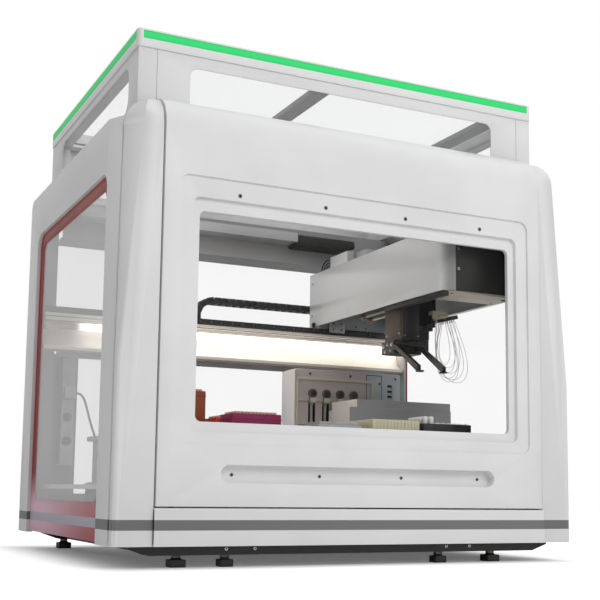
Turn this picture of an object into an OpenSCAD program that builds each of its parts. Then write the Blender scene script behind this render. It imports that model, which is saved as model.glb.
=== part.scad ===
// Enclosed liquid handling robot: a floor-standing cabinet frame with a lifting front door, a
// glazed canopy, a gantry bridge with a gripper and eight pipetting probes, and a deck of labware.
// Millimetres. X runs to the right, Y to the back, Z up. The origin is on the floor, under the
// centre of the outline. The door is down, and every slide and turn is at zero.

/* [Overall] */
// Width over the two side faces
body_w = 1086; // [1080:2:1120]
// Depth from the front rail to the back
body_d = 850; // [846:2:880]
// Height over the roof cap
body_h = 1095; // [1090:1:1125]
// Sheet thickness of the covers
skin = 3; // [2:0.5:3.5]
// Clearance between pieces that slide past each other
slack = 0.4; // [0.3:0.05:0.6]
// Seam left between neighbouring covers
seam = 2; // [1.5:0.25:3]

/* [Base] */
// Height of the skirt's lower edge above the floor
foot_h = 43; // [38:1:50]
// Height of the base skirt
skirt_h = 73; // [68:1:80]
// How far the front rail stands proud of the pillars
rail_proud = 7; // [4:0.5:8]
// Depth of the front rail, front to back
rail_d = 44; // [42:1:48]
// Depth of the black chassis beams below the skirt
chassis_drop = 19; // [15:1:21]
// Radius of a levelling foot's pad
pad_r = 19; // [16:0.5:22]
// Radius of a levelling foot's stem
stem_r = 6; // [5:0.25:8]

/* [Pillars and side panels] */
// Width of a front pillar at the base
pillar_w = 83; // [78:0.5:86]
// Radius of a pillar's outer corner at the base
corner_r = 12; // [8:0.5:16]
// Height at which the pillar's facet starts
facet_z = 400; // [360:5:440]
// Radius with which pillars and door turn back at the top
dome_r = 66; // [60:1:70]
// Height at which pillars and door begin to turn back
dome_z = 873; // [865:1:880]
// Thickness of a side panel
panel_t = 16; // [12:0.5:18]
// Height of a side panel's top edge
panel_top = 901; // [896:1:906]
// Front edge of the side opening, behind the front rail
side_front = 113; // [110:1:118]
// Rear edge of the side opening, in front of the back
side_rear = 94; // [88:1:100]
// Height of the side opening's top edge
side_top = 792; // [784:1:798]
// Corner radius of the side opening
side_r = 34; // [24:1:44]
// Thickness of a tinted shield
shield_t = 4; // [3:0.5:5]
// How far a shield lies behind the side face
shield_in = 8; // [6:0.5:10]
// Width of a shield's tinted border at the top
border_top = 30; // [24:1:36]
// Width of a shield's tinted border at front and rear
border_side = 28; // [22:1:34]
// Height of the shield window's lower edge
border_low = 123; // [118:1:130]

/* [Front door] */
// Height of the door's lower edge above the skirt
door_lift = 3; // [2:0.25:4]
// Depth of the door moulding, front to back
door_d = 32; // [29:0.5:33]
// Skin thickness of the door moulding
door_skin = 4; // [3:0.25:4.5]
// Depth of the outer recess
step_1 = 5; // [3:0.25:6]
// Depth of the inner recess below the outer one
step_2 = 9; // [7:0.25:10]
// Width of the window opening
window_w = 754; // [740:2:760]
// Height of the window opening
window_h = 424; // [416:1:428]
// Height of the window's lower edge above the floor
window_z = 285; // [280:1:290]
// Flat border of the inner recess beside the window
border_2 = 17; // [14:0.5:19]
// Flat border of the outer recess beside the inner one
border_1 = 30; // [26:0.5:32]
// Corner radius of the window opening
window_r = 12; // [8:0.5:16]
// Thickness of the door pane
pane_t = 4; // [3:0.25:5]
// Length of the grip groove
grip_l = 650; // [600:5:680]
// Height of the grip groove
grip_h = 36; // [32:1:40]
// Height of the grip groove's middle
grip_z = 183; // [180:1:188]
// Depth of the grip groove
grip_d = 22; // [18:0.5:23]

/* [Canopy] */
// Width over the canopy walls
canopy_w = 990; // [980:2:996]
// Distance of the canopy front behind the front rail
canopy_back = 82; // [80:1:90]
// Height of the roof cap
cap_h = 39; // [36:1:42]
// Overhang of the roof cap
cap_over = 3; // [1:0.5:4]
// Height of the status light bars
light_h = 16; // [13:0.5:18]
// Width of the canopy's front window
canopy_win_w = 762; // [750:2:770]
// Upper edge of the canopy windows, below the cap
canopy_win_gap = 26; // [22:1:30]
// Corner radius of the canopy windows
canopy_win_r = 18; // [14:0.5:24]
// Width of a beam under the roof
roof_beam_w = 38; // [32:1:44]

/* [Gantry] */
// Front face of the gantry beam, in front of the back
beam_y = 125; // [122:1:126]
// Lower face of the gantry beam
beam_z = 500; // [495:1:505]
// Height of the gantry beam
beam_h = 95; // [92:1:98]
// Radius of the cylindrical reflector
reflector_r = 40; // [36:0.5:42]
// Radius of the work light tube
tube_r = 8; // [6:0.25:9]
// Width of a linear rail
rail_w = 12; // [10:0.5:14]
// Height of a linear rail
rail_h = 12; // [10:0.5:13]
// Left face of the bridge
bridge_x = 245; // [235:1:252]
// Width of the bridge
bridge_w = 230; // [224:1:234]
// Height of the bridge
bridge_h = 153; // [148:1:158]
// Gap between the gantry beam and the bridge
bridge_lift = 22; // [20:0.5:24]
// Front corner radius of the bridge cover
bridge_r = 34; // [28:1:38]

/* [Pod and gripper] */
// Width of the gripper mast
mast_w = 49; // [46:0.5:52]
// Depth of the gripper mast
mast_d = 82; // [78:0.5:84]
// Wall of the gripper mast
mast_wall = 4; // [3:0.25:5]
// Height of the mast's lower end
mast_z = 537; // [533:1:540]
// Width of the gripper body
grip_body_w = 82; // [78:0.5:86]
// Depth of the gripper body
grip_body_d = 60; // [56:0.5:64]
// Height of the gripper body
grip_body_h = 32; // [28:0.5:34]
// Distance between the two fingers
finger_gap = 72; // [68:0.5:76]
// Reach of a finger in front of the gripper body
finger_reach = 113; // [105:1:118]
// Drop of a finger from the gripper body to its pad
finger_drop = 74; // [68:1:76]
// Pitch of the eight probes
probe_pitch = 9; // [9:0.1:9.4]
// Length of a probe's square body
probe_l = 190; // [180:1:196]
// Radius of a probe's mandrel
probe_r = 2.5; // [2:0.1:3]

/* [Deck] */
// Height of the deck plate's top
deck_z = 160; // [155:1:165]
// Thickness of the deck plate
deck_t = 10; // [8:0.5:12]
// Height of a labware positioner
seat_h = 112; // [108:1:114]
// Width of a labware footprint
lab_w = 127.8; // [127.8:0.2:128.4]
// Depth of a labware footprint
lab_d = 85.5; // [85.5:0.1:86]
// Radius of a device mounting hole in the deck
hole_r = 3.3; // [2.7:0.1:4]
// Spacing of the device mounting holes
hole_pitch = 120; // [110:1:126]

/* [Syringe pump module] */
// Width of the pump module
pump_w = 328; // [320:1:332]
// Height of the pump module
pump_h = 320; // [294:1:326]
// Depth of the pump module
pump_d = 82; // [76:1:86]
// Spacing of the syringe pumps
pump_pitch = 42; // [40:0.5:43]
// Radius of a rotary valve's face
valve_r = 13; // [11:0.25:14]
// Radius of a syringe barrel
barrel_r = 5; // [4.5:0.1:6]
// Length of a syringe barrel
barrel_l = 62; // [58:1:64]

/* [Power strip] */
// Length of the power strip
strip_l = 284; // [260:1:286]
// Radius of the lead
lead_r = 3; // [2.5:0.1:3.5]

/* [Hidden] */
probe_count = 8;

// Outline
half_w = body_w / 2;
front_y = -body_d / 2;
back_y = body_d / 2;
skirt_top = foot_h + skirt_h;
pillar_y = front_y + rail_proud;
pillar_in = half_w - pillar_w;
panel_in = half_w - panel_t;

// Levelling feet: two small and two large ones in front, two large ones behind
small_feet_x = [-292, 212];
large_feet_x = [-392, 356];
rear_feet_x = [-440, 440];

// Front column: the facet between the pillar's face and the side grows with height
facet_x = half_w - 43;
crease_r = 4;
crease_x = half_w - 15;
crease_y = pillar_y + 49;
dome_top_x = half_w - 77;
dome_y = pillar_y + dome_r;

// Side opening and shield
opening_y0 = front_y + side_front;
opening_y1 = back_y - side_rear;
shield_x1 = half_w - shield_in;
shield_x0 = shield_x1 - shield_t;

// Door
door_half = pillar_in - seam - 1.5;
door_y = pillar_y - 4;
door_z = skirt_top + door_lift;
door_r = dome_r + 4;
door_back = door_y + door_d;
recess_1 = [window_w / 2 + border_2 + border_1, window_z - 45, window_z + window_h + 68, 22];
recess_2 = [window_w / 2 + border_2, window_z - 20, window_z + window_h + 26, 16];
window = [window_w / 2, window_z, window_z + window_h, window_r];
pane_y = door_back - 8;

// Door guides, behind the door's side flanges
guide_x = door_half - 20;
guide_rail_w = 10;
guide_rail_y = door_back + 8;
post_y0 = door_back + 20;
post_y1 = post_y0 + 18;
post_top = dome_z - 10;
carriage_h = 60;
carriage_z = [160, 340];
spring_r = 20;
spring_z = post_top - 34;

// Canopy
canopy_x = canopy_w / 2;
canopy_y0 = front_y + canopy_back;
canopy_y1 = back_y - 4;
canopy_z0 = panel_top + 0.3;
cap_z = body_h - cap_h;
canopy_win_z0 = canopy_z0 + 36;
canopy_win_z1 = cap_z - canopy_win_gap;
roof_t = 4;
roof_beam_x = [-75, 383];
roof_beam_z0 = cap_z - 12;

// Rear frame and gantry beam
post_x = half_w - panel_t - 45;
header_z = 793;
header_h = 100;
sill_z = 138;
beam_y0 = back_y - beam_y;
beam_top = beam_z + beam_h;
beam_box_d = 52;
beam_x = half_w - panel_t - 3;
tray_y0 = beam_y0 + beam_box_d + 2;
tray_y1 = tray_y0 + 56;
tray_x = post_x;
chain_w = 40;
chain_y = [tray_y0 + 7, tray_y0 + 7 + chain_w];
chain_r = 56;
chain_t = 18;
link_pitch = 22;
link_gap = 1.6;
chain_x = -46;
chain_z = tray_floor() + skin + chain_r;
rail_y = [beam_y0 + 6, beam_y0 + 34];

// Bridge
bridge_y0 = canopy_y0 - 1;
bridge_y1 = tray_y0;
bridge_z0 = beam_top + bridge_lift;
bridge_z1 = bridge_z0 + bridge_h;
bridge_x1 = bridge_x + bridge_w;
bridge_beam_w = 26;
carrier_x = bridge_x + 6 + bridge_beam_w;

// Pod, mast and gripper
mast_x = bridge_x + 45;
mast_y = -mast_d;
mast_cx = mast_x + mast_w / 2;
mast_cy = mast_y / 2;
mast_top = bridge_z1 - 12;
column_gap = mast_wall + slack;
grip_top = mast_z - 4;
grip_z0 = grip_top - grip_body_h;
finger_t = 14;

// Pipetting head
head_x = mast_x + mast_w + 14;
head_y0 = -68;
head_end = 7;
head_y1 = head_y0 + probe_count * probe_pitch + 2 * head_end;
head_z0 = 576;
probe_w = probe_pitch - 2 * slack;
probe_x = head_x + 18;
probe_d = 26;
probe_z0 = head_z0 - 9;

// Deck
deck_x = half_w - panel_t - 12;
deck_y0 = post_y1 + 6;
deck_y1 = beam_y0;
seat_z = deck_z + seat_h;
seat_plate = 8;

// Pump module
pump_x = 127;
pump_y = 200;
pump_z = deck_z;
valve_z = pump_z + 254;
valve_x = pump_x + 54;
barrel_z = valve_z - 14 - barrel_l;

// Power strip and lead, on the rear left panel
strip_x = -half_w + 103;
strip_y = back_y - 22;
strip_z = 210;
strip_w = 34;
strip_d = 30;
socket_pitch = 62;
socket_r = 13;
socket_d = 8;
lead_route = [[-426, 362, 396], [-418, 362, 396], [-409, 361.5, 393], [-401, 359, 380],
              [-394, 355, 355], [-384, 350, 315], [-371, 346, 278], [-364, 343, 252],
              [-362, 342, 228], [-361, 341, 203], [-361, 336, 182], [-361, 322, 167],
              [-361, 300, 163.4], [-361, 262, 163.4], [-362, 222, 163.5], [-364, 204, 166.5],
              [-366, 190, 171], [-366.5, 180, 173.8], [-366.5, 170.2, 174]];

function tray_floor() = beam_z + 68;
function lead_at(i) = lead_route[max(0, min(len(lead_route) - 1, i))];

// ---------------------------------------------------------------- helpers

// An extrusion of a YZ outline from x0 to x1
module along_x(x0, x1) {
    translate([x0, 0, 0]) rotate([90, 0, 90]) linear_extrude(x1 - x0) children();
}

// An extrusion of an XZ outline from y0 to y1
module along_y(y0, y1) {
    translate([0, y1, 0]) rotate([90, 0, 0]) linear_extrude(y1 - y0) children();
}

// An extrusion of an XY outline from z0 to z1
module along_z(z0, z1) {
    translate([0, 0, z0]) linear_extrude(z1 - z0) children();
}

// A box between two corners
module span(from, to) {
    translate(from) cube(to - from);
}

// A rectangle between two corners with round corners
module round_rect(x0, y0, x1, y1, r) {
    translate([x0 + r, y0]) square([x1 - x0 - 2 * r, y1 - y0]);
    translate([x0, y0 + r]) square([x1 - x0, y1 - y0 - 2 * r]);
    for (x = [x0 + r, x1 - r], y = [y0 + r, y1 - r])
        translate([x, y]) circle(r, $fn = 48);
}

// A symmetric window outline [half width, low, high, corner radius], grown on all sides
module outline(o, grow = 0) {
    round_rect(-o[0] - grow, o[1] - grow, o[0] + grow, o[2] + grow, o[3] + grow);
}

// The children and their mirror image across the middle
module both_sides() {
    children();
    mirror([1, 0, 0]) children();
}

// ---------------------------------------------------------------- base

module chassis() {
    z0 = foot_h - chassis_drop;
    end_cut = 40;
    x1 = half_w - 48;
    beam_w = 44;
    color("#1c1b1a") {
        for (y = [front_y + 40, back_y - 84])
            along_y(y, y + beam_w)
                polygon([[-x1, foot_h], [-x1, foot_h - 5], [-x1 + end_cut, z0],
                         [x1 - end_cut, z0], [x1, foot_h - 5], [x1, foot_h]]);
        both_sides()
            span([x1 - beam_w - 60, front_y + 40 + beam_w, z0], [x1 - 60, back_y - 84, foot_h]);
    }
    color("#2a2927") {
        both_sides()
            span([x1 - beam_w - 60, front_y + 90, foot_h],
                 [x1 - beam_w - 54, back_y - 90, deck_z - deck_t]);
        for (y = [-170, 130])
            span([-deck_x + 40, y, foot_h], [deck_x - 40, y + 30, foot_h + 40]);
    }
}

module levelling_foot(pad) {
    color("#181818") {
        cylinder(h = 6, r = pad, $fn = 48);
        translate([0, 0, 6]) cylinder(h = 5, r1 = pad, r2 = stem_r + 4, $fn = 48);
        translate([0, 0, 11]) cylinder(h = foot_h - chassis_drop - 11, r = stem_r, $fn = 32);
    }
}

module levelling_feet() {
    for (x = small_feet_x) translate([x, front_y + 58, 0]) levelling_foot(pad_r);
    for (x = large_feet_x) translate([x, front_y + 66, 0]) levelling_foot(pad_r + 4);
    for (x = rear_feet_x) translate([x, back_y - 62, 0]) levelling_foot(pad_r + 4);
}

module base_rail() {
    y1 = front_y + rail_d;
    r = 4;
    color("#dfe0e1") along_x(-pillar_in + slack, pillar_in - slack) difference() {
        union() {
            translate([front_y, foot_h]) square([rail_d, skirt_h - r]);
            translate([front_y + r, foot_h]) square([rail_d - r, skirt_h]);
            translate([front_y + r, skirt_top - r]) circle(r, $fn = 32);
        }
        translate([front_y + skin, foot_h + skin]) square([rail_d, skirt_h - 2 * skin]);
    }
}

// ---------------------------------------------------------------- pillars and side panels

// The column's slice in the dome, at an angle from the front towards the top
module dome_slice(a) {
    z = dome_z + dome_r * sin(a);
    x = dome_top_x + (crease_x - dome_top_x) * cos(a);
    y = dome_y - dome_r * cos(a);
    edge = crease_x - facet_x;
    translate([pillar_in, y, z]) cube([x - pillar_in - edge * cos(a), dome_y - y + 1, 0.5]);
    translate([x - crease_r, crease_y + (dome_y - crease_y) * (1 - cos(a)) + 1, z])
        cylinder(h = 0.5, r = crease_r, $fn = 24);
}

module pillar() {
    depth = 20;
    difference() {
        union() {
            hull() {
                span([pillar_in, pillar_y, foot_h], [facet_x, pillar_y + depth, dome_z + 0.5]);
                translate([half_w - 2 - corner_r, pillar_y + corner_r, foot_h])
                    cylinder(h = facet_z - foot_h, r = corner_r, $fn = 48);
                translate([crease_x - crease_r, crease_y, dome_z])
                    cylinder(h = 0.5, r = crease_r, $fn = 24);
            }
            hull() for (a = [0:15:90]) dome_slice(a);
            span([pillar_in, pillar_y + depth - 1, foot_h], [facet_x, dome_y, dome_z + 1]);
        }
        panel_front(slack);
    }
}

module right_pillar() {
    color("#dcddde") pillar();
}

module left_pillar() {
    color("#dcddde") mirror([1, 0, 0]) pillar();
}

// The side panel's part in front of the opening follows the pillar's crease; room grows it
module panel_front(room = 0) {
    y1 = opening_y0;
    low_y = pillar_y + 2 * corner_r + seam - 1;
    high_y = crease_y + crease_r + seam;
    hull() {
        span([panel_in - room, y1 - 1, foot_h - room], [half_w + room, y1, panel_top + room]);
        span([panel_in - room, low_y - room, foot_h - room], [half_w - 1.5 + room, low_y + 1, facet_z]);
        span([panel_in - room, high_y - room, dome_z - 1], [crease_x + 1 + room, high_y + 1, dome_z + room]);
        span([panel_in - 8 - room, high_y + 10 - room, panel_top - 2],
             [crease_x - 6 + room, high_y + 11, panel_top + room]);
    }
}

module side_panel() {
    r = 25;
    difference() {
        along_x(panel_in, half_w) {
            translate([opening_y0 - 1, foot_h])
                square([back_y - opening_y0 + 1 - r, panel_top - foot_h]);
            translate([back_y - r - 1, foot_h]) square([r + 1, panel_top - foot_h - r]);
            translate([back_y - r, panel_top - r]) circle(r, $fn = 64);
        }
        along_x(panel_in - 1, half_w + 1) {
            round_rect(opening_y0, foot_h - 2 * side_r, opening_y1, side_top, side_r);
        }
    }
    panel_front();
    // ledge from the panel's top edge to the canopy
    span([canopy_x - 25, canopy_y0, panel_top - skin], [panel_in + 1, back_y - 28, panel_top]);
}

module right_side_panel() {
    color("#d4d5d6") side_panel();
}

module left_side_panel() {
    color("#d4d5d6") mirror([1, 0, 0]) side_panel();
}

// The shield's tinted border stands in the side opening and covers the base beside the deck
module shield() {
    y0 = opening_y0 + slack;
    y1 = opening_y1 - slack;
    top = side_top - slack;
    r = side_r - slack;
    along_x(shield_x0, shield_x1) difference() {
        union() {
            round_rect(y0, foot_h + 60, y1, top, r);
            translate([y0, foot_h + 3]) square([y1 - y0, 60 + r]);
        }
        outline_yz(shield_window());
    }
}

// The shield's window [front, low, rear, high, radius]
function shield_window() = [opening_y0 + border_side, border_low, opening_y1 - border_side - 12,
                            side_top - border_top, side_r - 8];

module outline_yz(o) {
    round_rect(o[0], o[1], o[2], o[3], o[4]);
}

module right_shield() {
    color("#a5716f") shield();
}

module left_shield() {
    color("#a5716f") mirror([1, 0, 0]) shield();
}

module shield_panes() {
    color("#eef2f4", 0.3) both_sides()
        along_x(shield_x0 + 1, shield_x1 - 1) outline_yz(shield_window());
}

// ---------------------------------------------------------------- front door

// Section of the door: a flat front that turns back over a quarter circle
module door_section(inset, back) {
    translate([door_y + inset, door_z + inset]) square([back - inset, dome_z - door_z - inset]);
    translate([dome_y, dome_z]) intersection() {
        difference() {
            circle(door_r - inset, $fn = 96);
            circle(door_r - back, $fn = 96);
        }
        translate([-door_r, 0]) square([door_r - inset, door_r]);
    }
}

module door_shell() {
    open = door_skin;
    color("#d8d9da") difference() {
        along_x(-door_half, door_half) door_section(0, door_d);
        // hollow back
        difference() {
            along_x(-door_half + open, door_half - open) door_section(open, door_d + 2);
            along_y(door_y, door_y + step_1 + open) outline(recess_1, open);
            along_y(door_y, door_y + step_1 + step_2 + open) outline(recess_2, open);
            along_y(door_y, pane_y) outline(window, 9);
            along_y(door_y, door_y + grip_d + open) outline(grip_slot(), open);
        }
        along_y(door_y - 1, door_y + step_1) outline(recess_1);
        along_y(door_y - 1, door_y + step_1 + step_2) outline(recess_2);
        along_y(door_y - 1, door_back + 1) outline(window);
        along_y(door_y - 1, door_y + grip_d) outline(grip_slot());
    }
}

function grip_slot() = [grip_l / 2, grip_z - grip_h / 2, grip_z + grip_h / 2, grip_h / 2 - 0.01];

module door_pane() {
    color("#e8eef0", 0.25) along_y(pane_y, pane_y + pane_t) outline(window, 8.5);
}

// Slide blocks on the door's side flanges, which run on the guide rails
module door_carriages() {
    color("#8c9094") both_sides() for (z = carriage_z) difference() {
        span([guide_x - 16, door_back - 6, z], [door_half - door_skin, guide_rail_y + 6, z + carriage_h]);
        span([guide_x - guide_rail_w / 2 - slack, guide_rail_y - slack, z - 1],
             [guide_x + guide_rail_w / 2 + slack, guide_rail_y + 9, z + carriage_h + 1]);
    }
}

module door_guides() {
    color("#6d7074") both_sides() {
        along_z(foot_h, post_top) difference() {
            translate([guide_x - 22, post_y0]) square([44, post_y1 - post_y0]);
            translate([guide_x - 18, post_y0 + 4]) square([36, post_y1 - post_y0]);
        }
        span([guide_x - guide_rail_w / 2, guide_rail_y, 150],
             [guide_x + guide_rail_w / 2, post_y0, post_top - 60]);
    }
}

// Constant-force spring cassettes that balance the door
module balance_springs() {
    color("#b6b8ba") both_sides() translate([guide_x - 17, post_y0 - spring_r, spring_z]) {
        rotate([0, 90, 0]) cylinder(h = 32, r = 13, $fn = 64);
        translate([5, 0, -spring_r]) cube([22, spring_r, 2 * spring_r - 6]);
    }
}

// ---------------------------------------------------------------- rear frame and deck

module rear_frame() {
    y0 = back_y - 55;
    color("#9a9da0") {
        both_sides() span([post_x, y0, foot_h], [panel_in - 0.5, back_y - 3, panel_top - skin]);
        difference() {
            span([-post_x, beam_y0 + 25, header_z], [post_x, back_y - 3, header_z + header_h]);
            span([-post_x - 1, beam_y0 + 29, header_z + 4],
                 [post_x + 1, back_y, header_z + header_h - 4]);
        }
        span([-post_x, y0, foot_h], [post_x, back_y - 3, sill_z]);
    }
    // closed panel on the lower left, which carries the power strip
    color("#c3c5c7") span([-post_x, back_y - 22, sill_z], [-post_x + 72, back_y - 18, beam_z]);
}

module rear_panes() {
    y0 = back_y - 9;
    color("#eef2f4", 0.25) span([-post_x, y0, sill_z], [post_x, y0 + 4, header_z]);
}

module deck_plate() {
    hole_x = -330;
    hole_y = -190;
    color("#c9cbcd") difference() {
        span([-deck_x, deck_y0, deck_z - deck_t], [deck_x, deck_y1, deck_z]);
        for (x = [-hole_pitch / 2, hole_pitch / 2], y = [-hole_pitch / 2, hole_pitch / 2])
            translate([hole_x + x, hole_y + y, deck_z - deck_t - 1])
                cylinder(h = deck_t + 2, r = hole_r, $fn = 32);
    }
}

// ---------------------------------------------------------------- gantry beam, light and chain

module gantry_beam() {
    groove_z = beam_z + 8 + reflector_r;
    color("#e6e4df") along_x(-beam_x, beam_x) {
        difference() {
            translate([beam_y0, beam_z]) square([beam_box_d, beam_h]);
            translate([beam_y0 - 4, groove_z]) circle(reflector_r, $fn = 96);
        }
    }
    // shelf and rear wall that hold the chain tray
    color("#dcdad6") along_x(-tray_x, tray_x) {
        translate([beam_y0 + beam_box_d - 1, tray_floor() - 8])
            square([tray_y1 - beam_y0 - beam_box_d + 5, 8]);
        translate([tray_y1, tray_floor() - 1]) square([4, beam_top - tray_floor()]);
    }
}

module work_light() {
    y = beam_y0 + 12;
    z = beam_z + 8 + reflector_r + 14;
    color("#fff4e0") translate([-beam_x + 14, y, z]) rotate([0, 90, 0])
        cylinder(h = 2 * beam_x - 28, r = tube_r, $fn = 48);
    color("#c9c6c0") for (x = [-beam_x + 2, beam_x - 14])
        span([x, y - tube_r - 1, z - tube_r - 1], [x + 12, y + tube_r + 8, z + tube_r + 1]);
}

module bridge_rails() {
    color("#8f9295") for (y = rail_y)
        span([-beam_x + 4, y, beam_top], [beam_x - 4, y + rail_w, beam_top + rail_h]);
}

module chain_tray() {
    lip_h = 14;
    hole_n = 34;
    color("#2e2c2a") {
        difference() {
            span([-beam_x, beam_y0 - 2, beam_top - 2], [beam_x, beam_y0, beam_top + lip_h]);
            for (i = [0:hole_n - 1])
                translate([-beam_x + (i + 0.5) * 2 * beam_x / hole_n, beam_y0 + 1, beam_top + 7])
                    rotate([90, 0, 0]) cylinder(h = 4, r = 2, $fn = 16);
        }
        along_x(-tray_x, tray_x) difference() {
            translate([tray_y0, tray_floor()]) square([tray_y1 - tray_y0 - 0.5, 22]);
            translate([tray_y0 + 2, tray_floor() + skin]) square([tray_y1 - tray_y0 - 4.5, 40]);
        }
    }
}

// The chain runs along the tray, turns and comes back over itself to the bridge
// The groove round the chain where two links meet, at the middle of the chain's thickness
module link_groove() {
    difference() {
        cube([link_gap, chain_w + 2, chain_t + 2], center = true);
        cube([link_gap + 1, chain_w - 2 * link_gap, chain_t - 2 * link_gap], center = true);
    }
}

module cable_chain() {
    end = bridge_x - 4;
    inner = chain_r - chain_t;
    mid_y = (chain_y[0] + chain_y[1]) / 2;
    bend = 180 / round(PI * (chain_r - chain_t / 2) / link_pitch);
    color("#1b1a19") difference() {
        along_y(chain_y[0], chain_y[1]) {
            translate([chain_x, chain_z]) intersection() {
                difference() {
                    circle(chain_r, $fn = 96);
                    circle(inner, $fn = 96);
                }
                translate([-chain_r, -chain_r]) square([chain_r, 2 * chain_r]);
            }
            for (z = [chain_z - chain_r, chain_z + inner])
                translate([chain_x, z]) square([end - chain_x, chain_t]);
        }
        for (side = [-1, 1], x = [chain_x + link_pitch : link_pitch : end - link_pitch / 2])
            translate([x, mid_y, chain_z + side * (chain_r - chain_t / 2)]) link_groove();
        for (a = [bend : bend : 180 - bend / 2])
            translate([chain_x, mid_y, chain_z]) rotate([0, 90 - a, 0])
                translate([-(chain_r - chain_t / 2), 0, 0]) rotate([0, 90, 0]) link_groove();
    }
}

// Cable duct and flange under the header
module ceiling_duct() {
    y0 = beam_y0 - 40;
    z = header_z + 52;
    color("#b9babb") span([-post_x + 2, y0, z - 3], [160, beam_y0 + 24.7, z]);
    color("#c4c5c6") span([-post_x + 2, y0, z], [160, y0 + 3, z + 22]);
    color("#211f1e") along_y(y0 + 8, beam_y0 + 24.7)
        polygon([[165, z - 10], [300, z - 10], [330, z + 8], [330, z + 20], [165, z + 20]]);
}

// ---------------------------------------------------------------- canopy

module canopy_walls() {
    win = [canopy_win_w / 2, canopy_win_z0, canopy_win_z1, canopy_win_r];
    side_y0 = canopy_y0 + 66;
    side_y1 = canopy_y1 - 109;
    inner = canopy_x - skin;
    color("#dadbdc") difference() {
        span([-canopy_x, canopy_y0, canopy_z0], [canopy_x, canopy_y1, cap_z]);
        span([-inner, canopy_y0 + skin, canopy_z0 - 1], [inner, canopy_y1 - skin, cap_z + 1]);
        along_y(canopy_y0 - 1, canopy_y1 + 1) outline(win);
        along_x(-canopy_x - 1, canopy_x + 1)
            round_rect(side_y0, canopy_win_z0, side_y1, canopy_win_z1 + 7, canopy_win_r + 12);
    }
    // corner posts inside the walls
    color("#c2c3c4") for (x = [-inner, inner - 36], y = [canopy_y0 + skin, canopy_y1 - skin - 30])
        span([x, y, canopy_z0], [x + 36, y + 30, cap_z]);
}

module canopy_panes() {
    win = [canopy_win_w / 2, canopy_win_z0, canopy_win_z1, canopy_win_r];
    t = 2;
    color("#eef2f4", 0.25) {
        for (y = [canopy_y0 + skin, canopy_y1 - skin - t]) along_y(y, y + t) outline(win, 6);
        both_sides() along_x(canopy_x - skin - t, canopy_x - skin)
            round_rect(canopy_y0 + 60, canopy_win_z0 - 6, canopy_y1 - 103, canopy_win_z1 + 13,
                       canopy_win_r + 18);
    }
    color("#f4f6f7", 0.5)
        roof_glass();
}

module roof_glass() {
    edge = 30;
    z = cap_z + 8;
    span([-canopy_x + edge, canopy_y0 + edge, z], [canopy_x - edge, canopy_y1 - edge, z + roof_t]);
}

// Rim of the roof, with grooves for the light bars
module roof_cap() {
    x = canopy_x + cap_over;
    y0 = canopy_y0 - cap_over;
    y1 = back_y;
    r = 10;
    color("#e0e1e2") difference() {
        along_z(cap_z, body_h) round_rect(-x, y0, x, y1, r);
        along_z(cap_z - 1, body_h + 1) round_rect(-x + 44, y0 + 44, x - 44, y1 - 44, r);
        roof_glass();
        light_bars();
    }
}

// The light bars fill grooves in the front and both sides of the rim
module light_bars() {
    x = canopy_x + cap_over;
    y0 = canopy_y0 - cap_over;
    z1 = body_h - 4;
    depth = 6;
    span([-x + 12, y0 - 1, z1 - light_h], [x - 12, y0 + depth, z1]);
    both_sides() span([x - depth, y0 + 12, z1 - light_h], [x + 1, back_y - 12, z1]);
}

module status_lights() {
    x = canopy_x + cap_over;
    y0 = canopy_y0 - cap_over;
    z1 = body_h - 4;
    depth = 6;
    color("#22d264") {
        span([-x + 12, y0, z1 - light_h], [x - 12, y0 + depth, z1]);
        both_sides() span([x - depth, y0 + 12, z1 - light_h], [x, back_y - 12, z1]);
    }
}

// Beams under the roof panel, front to back
module roof_beams() {
    color("#8d8f91") for (x = roof_beam_x) difference() {
        span([x, canopy_y0 + skin, roof_beam_z0], [x + roof_beam_w, canopy_y1 - skin, cap_z]);
        span([x + 3, canopy_y0 + skin - 1, roof_beam_z0 + 3],
             [x + roof_beam_w - 3, canopy_y1 - skin + 1, cap_z + 1]);
    }
}

// ---------------------------------------------------------------- deck and labware

// Seats on the deck: [middle x, middle y, width, depth]
seats = [[-222, 114, lab_d, lab_w], [-109, -57, lab_w, lab_d], [-109, 48, lab_w, lab_d],
         [147, -257, lab_w, lab_d], [147, -160, lab_w, lab_d], [285, -257, 135, lab_d],
         [4, -237, 108, 125]];
spare_seats = [[-390, 114, lab_d, lab_w], [60, 114, lab_w, lab_d]];

// A pedestal with a rimmed seat for one labware footprint
module positioner(w, d, h) {
    rim = 4;
    lip = 3;
    foot_t = 6;
    translate([-w / 2 - rim, -d / 2 - rim, 0]) cube([w + 2 * rim, d + 2 * rim, foot_t]);
    translate([-w / 2 + 8, -d / 2 + 8, foot_t]) cube([w - 16, d - 16, h - foot_t - seat_plate]);
    difference() {
        translate([-w / 2 - rim, -d / 2 - rim, h - seat_plate])
            cube([w + 2 * rim, d + 2 * rim, seat_plate + lip]);
        translate([-w / 2 - 0.5, -d / 2 - 0.5, h]) cube([w + 1, d + 1, lip + 1]);
        translate([-w / 2 + 20, -d / 2 - rim - 1, h - 1]) cube([w - 40, d + 2 * rim + 2, lip + 2]);
    }
}

module positioners() {
    color("#bfc1c3") for (s = concat(seats, spare_seats))
        translate([s[0], s[1], deck_z]) positioner(s[2], s[3], seat_h);
}

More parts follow.
